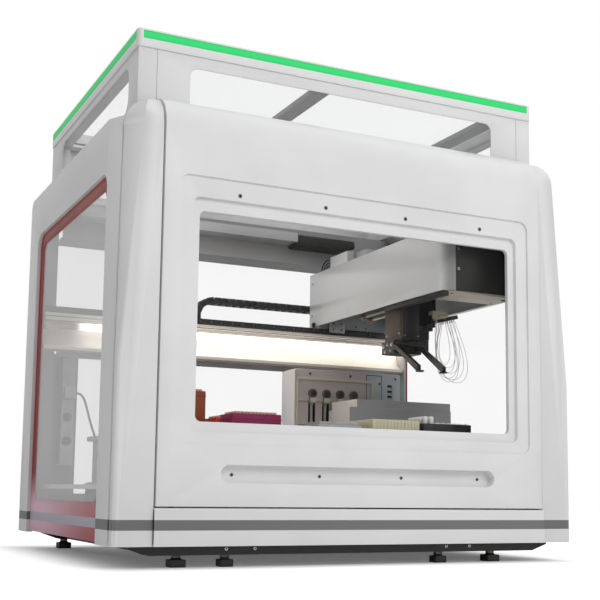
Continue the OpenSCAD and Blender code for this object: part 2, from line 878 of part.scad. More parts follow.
// A tip box: stepped side walls and rows of tips standing in its top plate
module tip_box(s, h, tint) {
    wall = 2;
    top = 5;
    translate([s[0], s[1], seat_z]) {
        color(tint) difference() {
            union() {
                translate([-s[2] / 2, -s[3] / 2, 0]) cube([s[2], s[3], 12]);
                translate([-s[2] / 2 + wall, -s[3] / 2 + wall, 12])
                    cube([s[2] - 2 * wall, s[3] - 2 * wall, h - 12]);
            }
            translate([-s[2] / 2 + 2 * wall, -s[3] / 2 + 2 * wall, -1])
                cube([s[2] - 4 * wall, s[3] - 4 * wall, h - wall + 1]);
        }
        color("#d8cfb8") for (i = [0:11])
            if (s[2] < s[3]) translate([9 - s[2] / 2, (i - 5.5) * 9 - 3, h]) cube([s[2] - 18, 6, top]);
            else translate([(i - 5.5) * 9 - 3, 9 - s[3] / 2, h]) cube([6, s[3] - 18, top]);
    }
}

module tip_boxes() {
    tip_box(seats[0], 118, "#7a4020");
    tip_box(seats[1], 57, "#80204e");
    tip_box(seats[2], 53, "#a8362c");
}

// A ribbed block of deep wells, open at the top
module well_plate(s) {
    h = 43;
    columns = 12;
    pitch = 9;
    well_w = 7;
    translate([s[0] - s[2] / 2, s[1] - s[3] / 2, seat_z]) difference() {
        cube([s[2], s[3], h]);
        for (i = [0:columns - 1])
            translate([(s[2] - (columns - 1) * pitch) / 2 + i * pitch - well_w / 2, 8, 4])
                cube([well_w, s[3] - 16, h]);
    }
}

module deep_well_plates() {
    color("#cdc6ad") for (s = [seats[3], seats[4]]) well_plate(s);
    // low cooling block with a recessed top
    s = seats[6];
    h = 32;
    color("#c9cacb") translate([s[0] - s[2] / 2, s[1] - s[3] / 2, seat_z]) difference() {
        cube([s[2], s[3], h]);
        translate([8, 8, h - 10]) cube([s[2] - 16, s[3] - 16, 11]);
    }
}

// A black rack with capped sample tubes at its left end
module tube_rack() {
    s = seats[5];
    tube = 5;
    rack_h = 38;
    pitch = 16;
    translate([s[0] - s[2] / 2, s[1] - s[3] / 2, seat_z]) {
        color("#1f1f1f") difference() {
            cube([s[2], s[3], rack_h]);
            for (i = [0:7], j = [0:4]) translate([11.5 + i * pitch, 10.7 + j * pitch, 8])
                cylinder(h = rack_h, r = tube + 0.3, $fn = 24);
        }
        color("#eceae6") for (i = [0:1], j = [0:4])
            translate([11.5 + i * pitch, 10.7 + j * pitch, 8]) {
                cylinder(h = rack_h - 2, r = tube, $fn = 24);
                translate([0, 0, rack_h - 7]) cylinder(h = 16, r = tube + 0.8, $fn = 24);
            }
    }
}

// Open-topped waste chute of folded sheet, with a wider lower front and a lower rear part
module waste_chute() {
    x0 = 225;
    x1 = deck_x - 5;
    y0 = 30;
    y1 = 171;
    top = deck_z + 229;
    low = deck_z + 208;
    color("#8b9093") {
        difference() {
            span([x0, y0, deck_z], [x1, y1, top]);
            span([x0 + skin, y0 + skin, deck_z + skin], [x1 - skin, y1 - skin, top + 1]);
        }
        span([x0 - 22, y0 - skin, deck_z], [x1, y0, low]);
        span([x0, y1, deck_z], [x0 + skin, y1 + 18, low]);
    }
}

// ---------------------------------------------------------------- syringe pumps

module pump_case() {
    x1 = pump_x + pump_w;
    slot_w = 20;
    color("#a39a90") difference() {
        along_y(pump_y, pump_y + pump_d)
            polygon([[pump_x, deck_z], [x1, deck_z], [x1, pump_z + pump_h],
                     [pump_x + 6, pump_z + pump_h], [pump_x, pump_z + pump_h - 6]]);
        // bays for the syringes
        for (i = [0:3])
            span([valve_x + i * pump_pitch - slot_w / 2, pump_y - 1, barrel_z - 90],
                 [valve_x + i * pump_pitch + slot_w / 2, pump_y + 34, valve_z - 12]);
        // lower face set back behind the valve panel
        span([pump_x + 6, pump_y - 1, pump_z + 8],
             [valve_x + 3.5 * pump_pitch + 10, pump_y + 4, valve_z - 22]);
        // cooling slots on the right
        for (k = [0:2])
            span([x1 - 40, pump_y - 1, valve_z - 8 + k * 15], [x1 - 26, pump_y + 3, valve_z - 1 + k * 15]);
    }
}

// Rotary valves with a syringe barrel below each
module syringe_pumps() {
    bore = barrel_r - 1;
    color("#b9bcbe") for (i = [0:3]) translate([valve_x + i * pump_pitch, 0, 0]) {
        difference() {
            translate([0, pump_y, valve_z]) rotate([90, 0, 0]) cylinder(h = 7, r = valve_r, $fn = 64);
            translate([0, pump_y - 4, valve_z]) rotate([90, 0, 0])
                cylinder(h = 4, r = valve_r - 5, $fn = 48);
        }
        difference() {
            union() {
                span([-8, pump_y - 7, valve_z - 26], [8, pump_y + 20, valve_z - 12]);
                translate([0, pump_y + 8, barrel_z]) cylinder(h = barrel_l - 11, r = barrel_r, $fn = 48);
            }
            translate([0, pump_y + 8, barrel_z - 1]) cylinder(h = barrel_l - 13, r = bore, $fn = 48);
        }
    }
}

// The plungers ride on one drive bar
module plungers() {
    fit = 0.05;
    bore = barrel_r - 1;
    bar_z = barrel_z - 22;
    color("#8e9194") for (i = [0:3]) translate([valve_x + i * pump_pitch, pump_y + 8, 0]) {
        translate([0, 0, barrel_z + barrel_l - 32]) cylinder(h = 10, r = bore - fit, $fn = 48);
        translate([0, 0, bar_z]) cylinder(h = barrel_l - 8, r = 1.8, $fn = 24);
        translate([-8, -7, bar_z - 8]) cube([16, 15, 8]);
    }
    color("#3b3c3e") span([valve_x - 9, pump_y - 4, bar_z - 14],
                          [valve_x + 3 * pump_pitch + 9, pump_y + 2 - slack, bar_z - 2]);
}

// ---------------------------------------------------------------- power strip and lead

module power_strip() {
    box_h = 50;
    front = strip_y - strip_d;
    color("#b3b5b7") difference() {
        union() {
            span([strip_x - strip_w / 2, front, strip_z],
                 [strip_x + strip_w / 2, strip_y, strip_z + strip_l]);
            span([strip_x - strip_w / 2 - 1, front - 5, strip_z + strip_l - box_h],
                 [strip_x + strip_w / 2 + 1, strip_y, strip_z + strip_l + 2]);
        }
        for (k = [0:2]) translate([strip_x, front - 1, strip_z + (k + 1) * socket_pitch])
            rotate([-90, 0, 0]) cylinder(h = socket_d + 1, r = socket_r, $fn = 48);
    }
}

// Plug seated in the uppermost socket
module lead_plug() {
    front = strip_y - strip_d;
    color("#a9abad") translate([strip_x, front, strip_z + 3 * socket_pitch]) {
        rotate([-90, 0, 0]) cylinder(h = socket_d - 0.3, r = socket_r - 0.4, $fn = 48);
        translate([-14, -22, -15]) cube([28, 22, 30]);
    }
}

// A point of a smooth curve through four neighbouring route points
function curve(a, b, c, d, t) =
    0.5 * ((2 * b) + (c - a) * t + (2 * a - 5 * b + 4 * c - d) * t * t
           + (3 * b - a - 3 * c + d) * t * t * t);

function unit(v) = v / norm(v);

// Direction of a path at point i
function heading(p, i) = unit(p[min(i + 1, len(p) - 1)] - p[max(i - 1, 0)]);

// A ring of points round point i of a path, kept square to it
function ring(p, i, r, sides) =
    let (t = heading(p, i), ref = abs(t[1]) < 0.9 ? [0, 1, 0] : [1, 0, 0],
         u = unit(cross(ref, t)), v = cross(t, u))
    [for (k = [0:sides - 1]) p[i] + r * (cos(360 * k / sides) * u + sin(360 * k / sides) * v)];

// A closed tube swept along a path
module tube(p, r, sides) {
    n = len(p);
    points = [for (i = [0:n - 1]) each ring(p, i, r, sides)];
    walls = [for (i = [0:n - 2], k = [0:sides - 1])
             [i * sides + k, i * sides + (k + 1) % sides, (i + 1) * sides + (k + 1) % sides,
              (i + 1) * sides + k]];
    start = [[for (k = [sides - 1:-1:0]) k]];
    end = [[for (k = [0:sides - 1]) (n - 1) * sides + k]];
    polyhedron(points, concat([for (f = walls) [f[3], f[2], f[1], f[0]]],
                              [for (f = start) [for (k = [len(f) - 1:-1:0]) f[k]]],
                              [for (f = end) [for (k = [len(f) - 1:-1:0]) f[k]]]));
}

module power_lead() {
    steps = 3;
    last = len(lead_route) - 1;
    path = concat([for (i = [0:last - 1], k = [0:steps - 1])
                   curve(lead_at(i - 1), lead_at(i), lead_at(i + 1), lead_at(i + 2), k / steps)],
                  [lead_route[last]]);
    color("#6f7173") tube(path, lead_r, 8);
}

// ---------------------------------------------------------------- bridge

// Plan of the bridge cover, with round front corners
module bridge_plan(inset) {
    x0 = bridge_x + inset;
    x1 = bridge_x1 - inset;
    y0 = bridge_y0 + inset;
    y1 = bridge_y1 - inset;
    r = bridge_r - inset;
    translate([x0, y0 + r]) square([x1 - x0, y1 - y0 - r]);
    translate([x0 + r, y0]) square([x1 - x0 - 2 * r, y1 - y0]);
    for (x = [x0 + r, x1 - r]) translate([x, y0 + r]) circle(r, $fn = 64);
}

module bridge_cover() {
    front = 110;
    side = 14;
    color("#b4b5b6") difference() {
        along_z(bridge_z0, bridge_z1) bridge_plan(0);
        along_z(bridge_z0 + skin, bridge_z1 - skin) bridge_plan(skin);
        // open underside behind the front floor
        along_z(bridge_z0 - 1, bridge_z0 + skin + 1)
            translate([bridge_x + skin, bridge_y0 + front])
                square([bridge_w - skin - side, bridge_y1 - bridge_y0 - front - skin]);
        // opening for the nose panel
        span([bridge_x + bridge_r, bridge_y0 - 1, bridge_z0 - 1],
             [bridge_x1 - bridge_r, bridge_y0 + skin, bridge_z1 + 1]);
        // passage for the rear carriage
        span([bridge_x + skin, bridge_y1 - 70, bridge_z0 - 1],
             [bridge_x1 - skin, bridge_y1 + 1, bridge_z0 + 26]);
    }
}

module bridge_nose() {
    color("#191817") span([bridge_x + bridge_r, bridge_y0, bridge_z0],
                          [bridge_x1 - bridge_r, bridge_y0 + skin, bridge_z1]);
}

// Hollow beam with the rail that the pod runs on
module bridge_beam() {
    x0 = bridge_x + skin;
    z0 = bridge_z0 + 28;
    z1 = bridge_z1 - skin - 6;
    color("#97999b") {
        along_y(bridge_y0 + bridge_r + 4, bridge_y1 - 8) difference() {
            translate([x0, z0]) square([bridge_beam_w, z1 - z0]);
            translate([x0 + 4, z0 + 4]) square([bridge_beam_w - 8, z1 - z0 - 8]);
        }
        span([x0 + bridge_beam_w, bridge_y0 + 60, bridge_z0 + 78],
             [x0 + bridge_beam_w + 6, bridge_y1 - 60, bridge_z0 + 90]);
    }
}

// Rear carriage: two blocks on the rails, a channel between them and a drilled front plate
module bridge_carriage() {
    z0 = beam_top + slack;
    z1 = bridge_z0 + 28;
    x0 = bridge_x + skin + 1;
    x1 = bridge_x1 - skin - 1;
    y0 = beam_y0 + 2;
    y1 = tray_y0 - 4;
    block_l = 64;
    color("#7d8a92") {
        difference() {
            span([x0, y0, z0], [x1, y1, z1]);
            span([x0 + block_l, y0 - 1, z0 - 1], [x1 - block_l, y1 + 1, beam_top + rail_h + 4]);
            for (y = rail_y)
                span([x0 - 1, y - slack, z0 - 1], [x1 + 1, y + rail_w + slack, beam_top + rail_h + slack]);
            span([x0 + 30, y0 + 6, z1 - 8], [x1 - 8, y1 + 1, z1 + 1]);
        }
        span([x0 + 36, y0 - 8, bridge_z0 - 4], [x1 - 12, y0 + 1, z1 - 2]);
    }
    color("#7d8a92") difference() {
        span([x0 + 36, y0 - 14, bridge_z0 - 8], [x1 - 12, y0 - 7, bridge_z0 + 82]);
        for (x = [x0 + 60:34:x1 - 30])
            translate([x, y0, bridge_z0 + 62]) rotate([90, 0, 0]) cylinder(h = 20, r = 4, $fn = 24);
    }
}

// ---------------------------------------------------------------- pod, mast and gripper

module pod_carriage() {
    x0 = carriage_face() + slack;
    z0 = bridge_z0 + 50;
    z1 = mast_top;
    rail_z = bridge_z0 + 84;
    color("#2b2b2b") {
        difference() {
            span([x0, mast_y, z0], [mast_x, 0, z1]);
            span([x0 - 1, mast_y - 1, rail_z - 6 - slack], [x0 + 6, 1, rail_z + 6 + slack]);
        }
        span([x0, mast_y, z1], [probe_x + probe_d + 4, head_y1, z1 + 6]);
    }
}

function carriage_face() = bridge_x + skin + bridge_beam_w;

// The mast is a square tube that guides the gripper column
module gripper_mast() {
    color("#55493f") difference() {
        span([mast_x, mast_y, mast_z], [mast_x + mast_w, 0, mast_top]);
        span([mast_x + mast_wall, mast_y + mast_wall, mast_z - 1],
             [mast_x + mast_w - mast_wall, -mast_wall, mast_top + 1]);
    }
    color("#1d1c1b") span([mast_x + 3, mast_y - 4, mast_z], [mast_x + mast_w, mast_y, mast_top]);
}

// Housing of the eight probes, with a cover block in front and the tube manifold before it
module head_frame() {
    x1 = probe_x + probe_d + slack + 4;
    wall = head_end - slack;
    color("#1f1e1d") difference() {
        span([head_x, head_y0, head_z0], [x1, head_y1, mast_top]);
        span([probe_x - slack, head_y0 + wall, head_z0 - 1],
             [probe_x + probe_d + slack, head_y1 - wall, mast_top + 1]);
        span([probe_x - slack, head_y0 - 1, head_z0 + 63],
             [probe_x + probe_d + slack, head_y0 + wall + 1, mast_top + 1]);
    }
    color("#b5a88c") {
        span([head_x + 14, head_y0 - 40, bridge_z0 - 26], [head_x + 54, head_y0 - 20, bridge_z0 - 6]);
        span([head_x + 20, head_y0 - 21, bridge_z0 - 20], [head_x + 40, head_y0, bridge_z0 - 8]);
    }
}

// Path of one tube: straight out of the manifold, round a drop-shaped loop and back
function loop_path(x0, x1, y, z, reach, drop, n) =
    concat([[x0, y, z]],
           [for (i = [0:n]) let (t = i / n)
            [x0 + (x1 - x0) * t + 52 * sin(180 * t) - reach * sin(360 * t), y - 4 * sin(180 * t),
             z - 6 - drop * sin(180 * t)]],
           [[x1, y, z]]);

module tubing_loops() {
    count = 8;
    color("#f0f0ee", 0.8) for (i = [0:count - 1])
        tube(loop_path(head_x + 19 + 1.5 * i, head_x + 52 - 1.5 * i, head_y0 - 37 + 2 * i,
                       bridge_z0 - 26, 33 - 2 * i, 158 - 7 * i, 14), 0.9, 8);
}

module gripper_column() {
    x0 = mast_x + column_gap;
    x1 = mast_x + mast_w - column_gap;
    y0 = mast_y + column_gap;
    y1 = -column_gap;
    bottom = 6;
    color("#2a2928") {
        difference() {
            span([x0, y0, grip_top + slack], [x1, y1, mast_top - 14]);
            span([x0 + 3, y0 + 3, grip_top + slack + bottom], [x1 - 3, y1 - 3, mast_top]);
        }
        translate([mast_cx, mast_cy, grip_top - 20]) cylinder(h = 22, r = 9, $fn = 64);
    }
}

// Turning body with a bore for the column's spigot and a slideway for the fingers
module gripper_body() {
    fit = 0.05;
    x0 = mast_cx - grip_body_w / 2;
    y0 = mast_cy - grip_body_d / 2;
    color("#161515") difference() {
        span([x0, y0, grip_z0], [x0 + grip_body_w, y0 + grip_body_d, grip_top]);
        translate([mast_cx, mast_cy, grip_top - 24]) cylinder(h = 25, r = 9 + fit, $fn = 64);
        span([x0 - 1, y0 - 1, grip_z0 + 8], [x0 + grip_body_w + 1, y0 + 7, grip_z0 + 20]);
    }
}

// A finger: a tongue in the slideway, a bent arm and a gripping pad
module finger(side) {
    y0 = mast_cy - grip_body_d / 2;
    arm = 5;
    top = grip_z0 + 20 - slack;
    low = grip_z0 + 8 + slack;
    end_y = y0 - finger_reach;
    end_z = top - finger_drop;
    color("#2b2826") translate([mast_cx + side * finger_gap / 2, 0, 0]) {
        along_x(-arm, arm)
            polygon([[y0 - slack, low], [y0 - slack, top], [y0 - 9, top], [end_y, end_z + 12],
                     [end_y, end_z], [end_y + 8, end_z], [y0 - 9, low]]);
        span([side > 0 ? -12 : -arm, y0 - 9, low], [side > 0 ? arm : 12, y0 + 7 - slack, top]);
        span([side > 0 ? -arm - 5 : -arm, end_y - 6, end_z - 4],
             [side > 0 ? arm : arm + 5, end_y + 8, end_z]);
    }
}

module finger_left() {
    finger(-1);
}

module finger_right() {
    finger(1);
}

// A probe: a slim square body, a collar and a mandrel
module probe(i) {
    y = head_y0 + head_end + (i - 0.5) * probe_pitch;
    x = probe_x;
    collar = 24;
    color("#3a3837") {
        span([x, y - probe_w / 2, probe_z0], [x + probe_d, y + probe_w / 2, probe_z0 + probe_l]);
        translate([x + probe_d / 2, y, probe_z0 - collar]) cylinder(h = collar, r = 3.6, $fn = 32);
    }
    color("#c8cacb") translate([x + probe_d / 2, y, probe_z0 - 53]) cylinder(h = 40, r = probe_r, $fn = 32);
}

// ---------------------------------------------------------------- nodes

chassis();
levelling_feet();
base_rail();
left_pillar();
right_pillar();
left_side_panel();
right_side_panel();
left_shield();
right_shield();
shield_panes();
door_guides();
balance_springs();
rear_frame();
rear_panes();
deck_plate();
gantry_beam();
work_light();
bridge_rails();
cable_chain();
chain_tray();
ceiling_duct();
canopy_walls();
canopy_panes();
roof_cap();
roof_beams();
status_lights();
positioners();
tip_boxes();
deep_well_plates();
tube_rack();
waste_chute();
pump_case();
syringe_pumps();
plungers();
power_strip();
lead_plug();
power_lead();
door_shell();
door_pane();
door_carriages();
bridge_cover();
bridge_nose();
bridge_beam();
bridge_carriage();
pod_carriage();
gripper_mast();
head_frame();
tubing_loops();
gripper_column();
gripper_body();
finger_left();
finger_right();
probe(1);  // probe_1
probe(2);  // probe_2
probe(3);  // probe_3
probe(4);  // probe_4
probe(5);  // probe_5
probe(6);  // probe_6
probe(7);  // probe_7
probe(8);  // probe_8
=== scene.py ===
"""Enclosed liquid handling robot: finishes, fine parts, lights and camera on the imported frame."""
import math

import bmesh
import bpy
from mathutils import Matrix, Vector


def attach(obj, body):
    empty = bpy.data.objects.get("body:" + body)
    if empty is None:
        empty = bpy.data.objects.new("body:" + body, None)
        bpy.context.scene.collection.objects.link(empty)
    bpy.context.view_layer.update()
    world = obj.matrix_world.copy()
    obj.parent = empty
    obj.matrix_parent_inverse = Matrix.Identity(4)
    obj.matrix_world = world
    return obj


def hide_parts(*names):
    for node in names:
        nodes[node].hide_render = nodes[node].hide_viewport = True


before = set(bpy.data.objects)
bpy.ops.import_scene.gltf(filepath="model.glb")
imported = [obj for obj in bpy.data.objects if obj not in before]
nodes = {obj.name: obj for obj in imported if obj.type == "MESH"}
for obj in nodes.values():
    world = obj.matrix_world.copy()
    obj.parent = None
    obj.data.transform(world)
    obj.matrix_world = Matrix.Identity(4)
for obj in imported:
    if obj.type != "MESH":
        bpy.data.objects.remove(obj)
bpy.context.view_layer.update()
MM = 0.001
PROBES = range(1, 9)

# Painted stripe round the foot of the cabinet: lower edge, upper edge and softness, in metres
STRIPE = (0.0735, 0.0935, 0.0004)
# Lights, in metres: heights of the rim's light bars and of the work light, and its left end
RIM_LIGHT_Z = (1.0755, 1.0905)
WORK_LIGHT_Z, WORK_LIGHT_LEFT = (0.554, 0.570), -0.448
# Labware, in millimetres: top of the seats, standard footprint and spacing of its wells
SEAT_Z = 272
LAB_LONG, LAB_SHORT = 127.8, 85.5
WELL_PITCH = 9
# Gripper's middle and the tubing manifold: its middle in Y and its tilt in degrees
GRIPPER_X = 314.5
MANIFOLD_Y, MANIFOLD_TILT = -98, -14
# Front of the pump module and the middle of its valves, in millimetres
PUMP_FRONT = 200
VALVE_Z = 414
VALVES_X = (181, 223, 265, 307)


# ---------------------------------------------------------------- shader arithmetic


class Value:
    """A shader socket that takes part in Python arithmetic."""

    def __init__(self, owner, socket):
        self.owner = owner
        self.socket = socket

    def _math(self, operation, *others):
        sockets = {0: self, **dict(enumerate(others, 1))}
        return self.owner.node("ShaderNodeMath", {"operation": operation}, sockets)

    def __add__(self, other):
        return self._math("ADD", other)

    __radd__ = __add__

    def __sub__(self, other):
        return self._math("SUBTRACT", other)

    def __rsub__(self, other):
        return self.owner.node("ShaderNodeMath", {"operation": "SUBTRACT"}, {0: other, 1: self})

    def __mul__(self, other):
        return self._math("MULTIPLY", other)

    __rmul__ = __mul__

    def __abs__(self):
        return self._math("ABSOLUTE")

    def top(self, other):
        return self._math("MAXIMUM", other)

    def rise(self, start, end):
        """0 before start, 1 after end."""
        ramp = {"interpolation_type": "SMOOTHSTEP"}
        return self.owner.node("ShaderNodeMapRange", ramp, {0: self, 1: start, 2: end, 3: 0.0, 4: 1.0})

    def between(self, start, end, soft):
        """1 between start and end, with soft edges."""
        return self.rise(start - soft, start + soft) * (1.0 - self.rise(end - soft, end + soft))


def srgb(red, green, blue):
    """A linear colour from 8-bit display values."""
    def linear(c):
        c = c / 255.0
        return c / 12.92 if c <= 0.04045 else ((c + 0.055) / 1.055) ** 2.4

    return (linear(red), linear(green), linear(blue), 1.0)


class Nodes:
    """A node tree whose nodes all come from one method."""

    def __init__(self, tree):
        self.tree = tree

    def node(self, kind, settings=None, sockets=None, out=0):
        """Adds a node and gives one of its outputs."""
        made = self.tree.nodes.new(kind)
        for key, value in (settings or {}).items():
            setattr(made, key, value)
        for key, value in (sockets or {}).items():
            socket = made.inputs[key]
            if isinstance(value, Value):
                self.tree.links.new(value.socket, socket)
            else:
                socket.default_value = value
        return Value(self, made.outputs[out]) if made.outputs else None


class Finish(Nodes):
    """A node material for one surface; constants go straight to the shader's sockets."""

    def __init__(self, name, **constants):
        self.material = bpy.data.materials.new(name)
        self.material.use_nodes = True
        super().__init__(self.material.node_tree)
        self.shader = self.tree.nodes["Principled BSDF"]
        for socket, value in constants.items():
            self.shader.inputs[socket.replace("_", " ")].default_value = value
        self.coords = self.node("ShaderNodeTexCoord", out="Object")

    def xyz(self):
        """The three Object coordinates, in metres."""
        return tuple(self.node("ShaderNodeSeparateXYZ", None, {0: self.coords}, i) for i in range(3))

    def noise(self, scale, detail=3.0, stretch=(1, 1, 1)):
        place = self.node("ShaderNodeMapping", None, {"Vector": self.coords, "Scale": stretch})
        sockets = {"Vector": place, "Scale": scale, "Detail": detail}
        return self.node("ShaderNodeTexNoise", None, sockets)

    def mix(self, factor, first, second):
        sockets = {0: factor, 6: first, 7: second}
        return self.node("ShaderNodeMix", {"data_type": "RGBA"}, sockets, out=2)

    def set(self, socket, value):
        self.tree.links.new(value.socket, self.shader.inputs[socket])

    def bump(self, height, depth, strength=0.5):
        sockets = {"Height": height, "Strength": strength, "Distance": depth}
        self.set("Normal", self.node("ShaderNodeBump", None, sockets))

    def mottle(self, colour, amount=0.06, scale=9.0):
        """Slow variation of a colour, a little darker and a little lighter."""
        dark = tuple(c * (1 - amount) for c in colour[:3]) + (1.0,)
        light = tuple(min(1.0, c * (1 + amount)) for c in colour[:3]) + (1.0,)
        return self.mix(self.noise(scale).rise(0.3, 0.7), dark, light)

    def orange_peel(self, tone, smoothest):
        """The painted surface: its tone, an uneven gloss and a fine orange peel."""
        self.set("Base Color", tone)
        self.set("Roughness", self.noise(14.0) * 0.1 + smoothest)
        self.bump(self.noise(900.0, 2.0), 0.0002, 0.12)
        return self.material


def powder_coat(name, colour, roughness=0.42, stripe=False):
    """Powder coat: a fine orange peel and slow mottling, with the cabinet's stripe if asked for."""
    finish = Finish(name)
    tone = finish.mottle(colour, 0.025, 5.0)
    if stripe:
        x, y, z = finish.xyz()
        tone = finish.mix(z.between(*STRIPE), tone, srgb(112, 112, 113))
    return finish.orange_peel(tone, roughness - 0.05)


def moulded(name, colour, roughness=0.35, coat=0.3):
    """Moulded plastic: fine texture, faint flow marks."""
    finish = Finish(name, Coat_Weight=coat, Coat_Roughness=0.15)
    finish.set("Base Color", finish.mottle(colour, 0.03, 6.0))
    finish.set("Roughness", finish.noise(20.0) * 0.12 + (roughness - 0.06))
    finish.bump(finish.noise(1400.0, 2.0), 0.00015, 0.1)
    return finish.material


def bridge_paint():
    """Light grey side walls, with the bent front end darkened as painted shade."""
    finish = Finish("bridge_light_grey", Coat_Weight=0.3, Coat_Roughness=0.2)
    x, y, z = finish.xyz()
    wall = finish.mottle(srgb(228, 228, 227), 0.025, 5.0)
    # The front end gets a darker grey as painted shade; behind the bend the walls keep their light
    # grey.
    clear_of_painted_shade = y.rise(-0.343, -0.322)
    return finish.orange_peel(finish.mix(clear_of_painted_shade, srgb(138, 138, 137), wall), 0.25)


def head_paint():
    """Satin black head with its beige manifold block."""
    finish = Finish("head_black")
    x, y, z = finish.xyz()
    black = finish.mottle(srgb(26, 24, 23), 0.025, 5.0)
    block = (1.0 - y.rise(-0.0885, -0.0875)) * z.rise(0.5905, 0.591)
    return finish.orange_peel(finish.mix(block, black, srgb(204, 194, 170)), 0.33)


def chute_paint():
    """Grey front plate, pale side walls."""
    finish = Finish("chute_grey", Coat_Weight=0.1)
    x, y, z = finish.xyz()
    grey = finish.mottle(srgb(152, 153, 153), 0.03, 6.0)
    side = x.between(0.2, 0.2264, 0.0002) * y.rise(0.0304, 0.031)
    return finish.orange_peel(finish.mix(side, grey, srgb(244, 236, 230)), 0.42)


def pump_paint():
    """Warm grey valve front, blue-grey service panel and a pale left side."""
    finish = Finish("pump_warm_grey", Coat_Weight=0.1)
    x, y, z = finish.xyz()
    front = finish.mottle(srgb(188, 178, 172), 0.03, 6.0)
    service_panel = x.rise(0.3468, 0.3472)
    past_left_side = x.rise(0.1275, 0.1279)
    tone = finish.mix(service_panel, front, srgb(176, 183, 187))
    return finish.orange_peel(finish.mix(past_left_side, srgb(234, 233, 232), tone), 0.4)


def anodised(name, colour, roughness=0.35, metallic=0.8, stretch=(1, 30, 30)):
    """Anodised or ground metal with fine lines along one axis."""
    finish = Finish(name, Metallic=metallic)
    lines = finish.noise(60.0, 4.0, stretch)
    dark = tuple(c * 0.82 for c in colour[:3]) + (1.0,)
    finish.set("Base Color", finish.mix(lines.rise(0.3, 0.7), dark, colour))
    finish.set("Roughness", lines * 0.2 + (roughness - 0.1))
    finish.bump(lines, 0.0001, 0.15)
    return finish.material


def clear_pane(name, tint, alpha, roughness=0.03):
    """Clear sheet: mostly see-through, with gloss and the faintest haze."""
    finish = Finish(name, Roughness=roughness)
    haze = finish.noise(4.0)
    finish.set("Base Color", finish.mottle(tint, 0.02, 3.0))
    finish.set("Alpha", haze * (alpha * 0.3) + alpha * 0.85)
    return finish.material


def side_pane(name, left_alpha=0.30, right_alpha=0.03):
    """Sheet of the side shields: whiter and less see-through in the left one, clearer in the right one.
    """
    finish = Finish(name, Roughness=0.08)
    x, y, z = finish.xyz()
    finish.set("Base Color", finish.mottle(srgb(252, 252, 252), 0.02, 3.0))
    alpha = left_alpha - x.rise(-0.1, 0.1) * (left_alpha - right_alpha)
    finish.set("Alpha", (finish.noise(4.0) * 0.12 + 0.94) * alpha)
    return finish.material


def shield_tint(name):
    """Tinted border of a side shield: brown red at the top, rose at the base, which a painted
    reflection pales towards the rear.
    """
    finish = Finish(name, Specular_IOR_Level=0.12)
    x, y, z = finish.xyz()
    # The base's rose paling from front to rear is a painted reflection on the gloss.
    base_rose_and_painted_reflection = finish.mix(y.rise(-0.32, 0.25), srgb(178, 98, 98), srgb(228, 188, 206))
    upper_tone = finish.mix(finish.noise(4.0).rise(0.3, 0.7), srgb(146, 66, 58), srgb(160, 86, 76))
    upper_tone = finish.mix(y.rise(0.288, 0.3), upper_tone, srgb(142, 34, 34))
    tone = finish.mix(z.rise(0.10, 0.20), base_rose_and_painted_reflection, upper_tone)
    tone = finish.mix(z.between(*STRIPE), tone, srgb(180, 178, 188))
    finish.set("Base Color", tone)
    finish.set("Roughness", finish.noise(30.0) * 0.1 + 0.4)
    return finish.material


def lit(name, low, high, strength, across, left_end=None):
    """A lit diffuser: brighter in the middle of its height. Before its left end there is no lamp; there
    its colour is darkened as painted shade and keeps a faint painted glow.
    """
    finish = Finish(name, Roughness=0.5, Specular_IOR_Level=0.1, Emission_Strength=strength)
    x, y, z = finish.xyz()
    glow = z.between(across[0], across[1], (across[1] - across[0]) * 0.3)
    tone = finish.mix(glow * 0.7 + finish.noise(30.0) * 0.15, low, high)
    glow_tone = tone
    if left_end is not None:
        # Before the left end: a base colour darkened as painted shade, and a faint painted glow.
        lit_part = x.rise(left_end, left_end + 0.03)
        tone = finish.mix(lit_part, srgb(188, 180, 172), tone)
        glow_tone = finish.mix(lit_part, srgb(30, 28, 26), tone)
    finish.set("Base Color", tone)
    finish.set("Emission Color", glow_tone)
    return finish.material


PANEL = powder_coat("panel_light_grey", srgb(226, 226, 227), stripe=True)
CANOPY = powder_coat("canopy_light_grey", srgb(224, 224, 225))
DOOR = moulded("door_light_grey", srgb(228, 228, 229), 0.38, 0.25)
CAP = moulded("cap_light_grey", srgb(228, 228, 228), 0.4, 0.2)
BLACK = powder_coat("chassis_black", srgb(27, 25, 22), 0.5)
FOOT = moulded("foot_black", srgb(34, 33, 32), 0.6, 0.0)
FRAME = powder_coat("frame_grey", srgb(150, 150, 150), 0.5)
CLEAR = clear_pane("clear_pane", srgb(120, 124, 124), 0.015)
REAR = clear_pane("rear_pane", srgb(250, 250, 250), 0.04)
SIDE = side_pane("side_pane")
CANOPY_CLEAR = clear_pane("canopy_pane", srgb(220, 224, 226), 0.06)
TINT = shield_tint("shield_rose")
STEEL = anodised("ground_steel", srgb(168, 170, 172), 0.3, 0.9)
DECK = anodised("deck_anodised", srgb(196, 198, 200), 0.4, 0.7, (1, 30, 1))
IVORY = powder_coat("beam_ivory", srgb(240, 236, 228), 0.35)
BRIDGE = bridge_paint()
HEAD = head_paint()
NOSE = moulded("nose_black", srgb(25, 23, 20), 0.42, 0.0)
BLUE = powder_coat("carriage_blue_grey", srgb(146, 154, 158), 0.4)
MAST = anodised("mast_brown", srgb(88, 75, 64), 0.5, 0.3, (30, 30, 1))
JET = powder_coat("jet_black", srgb(26, 24, 23), 0.38)
CHROME = anodised("bright_screw", srgb(206, 206, 205), 0.2, 1.0, (1, 1, 1))
DARK_SCREW = anodised("dark_screw", srgb(110, 110, 108), 0.35, 0.8, (1, 1, 1))
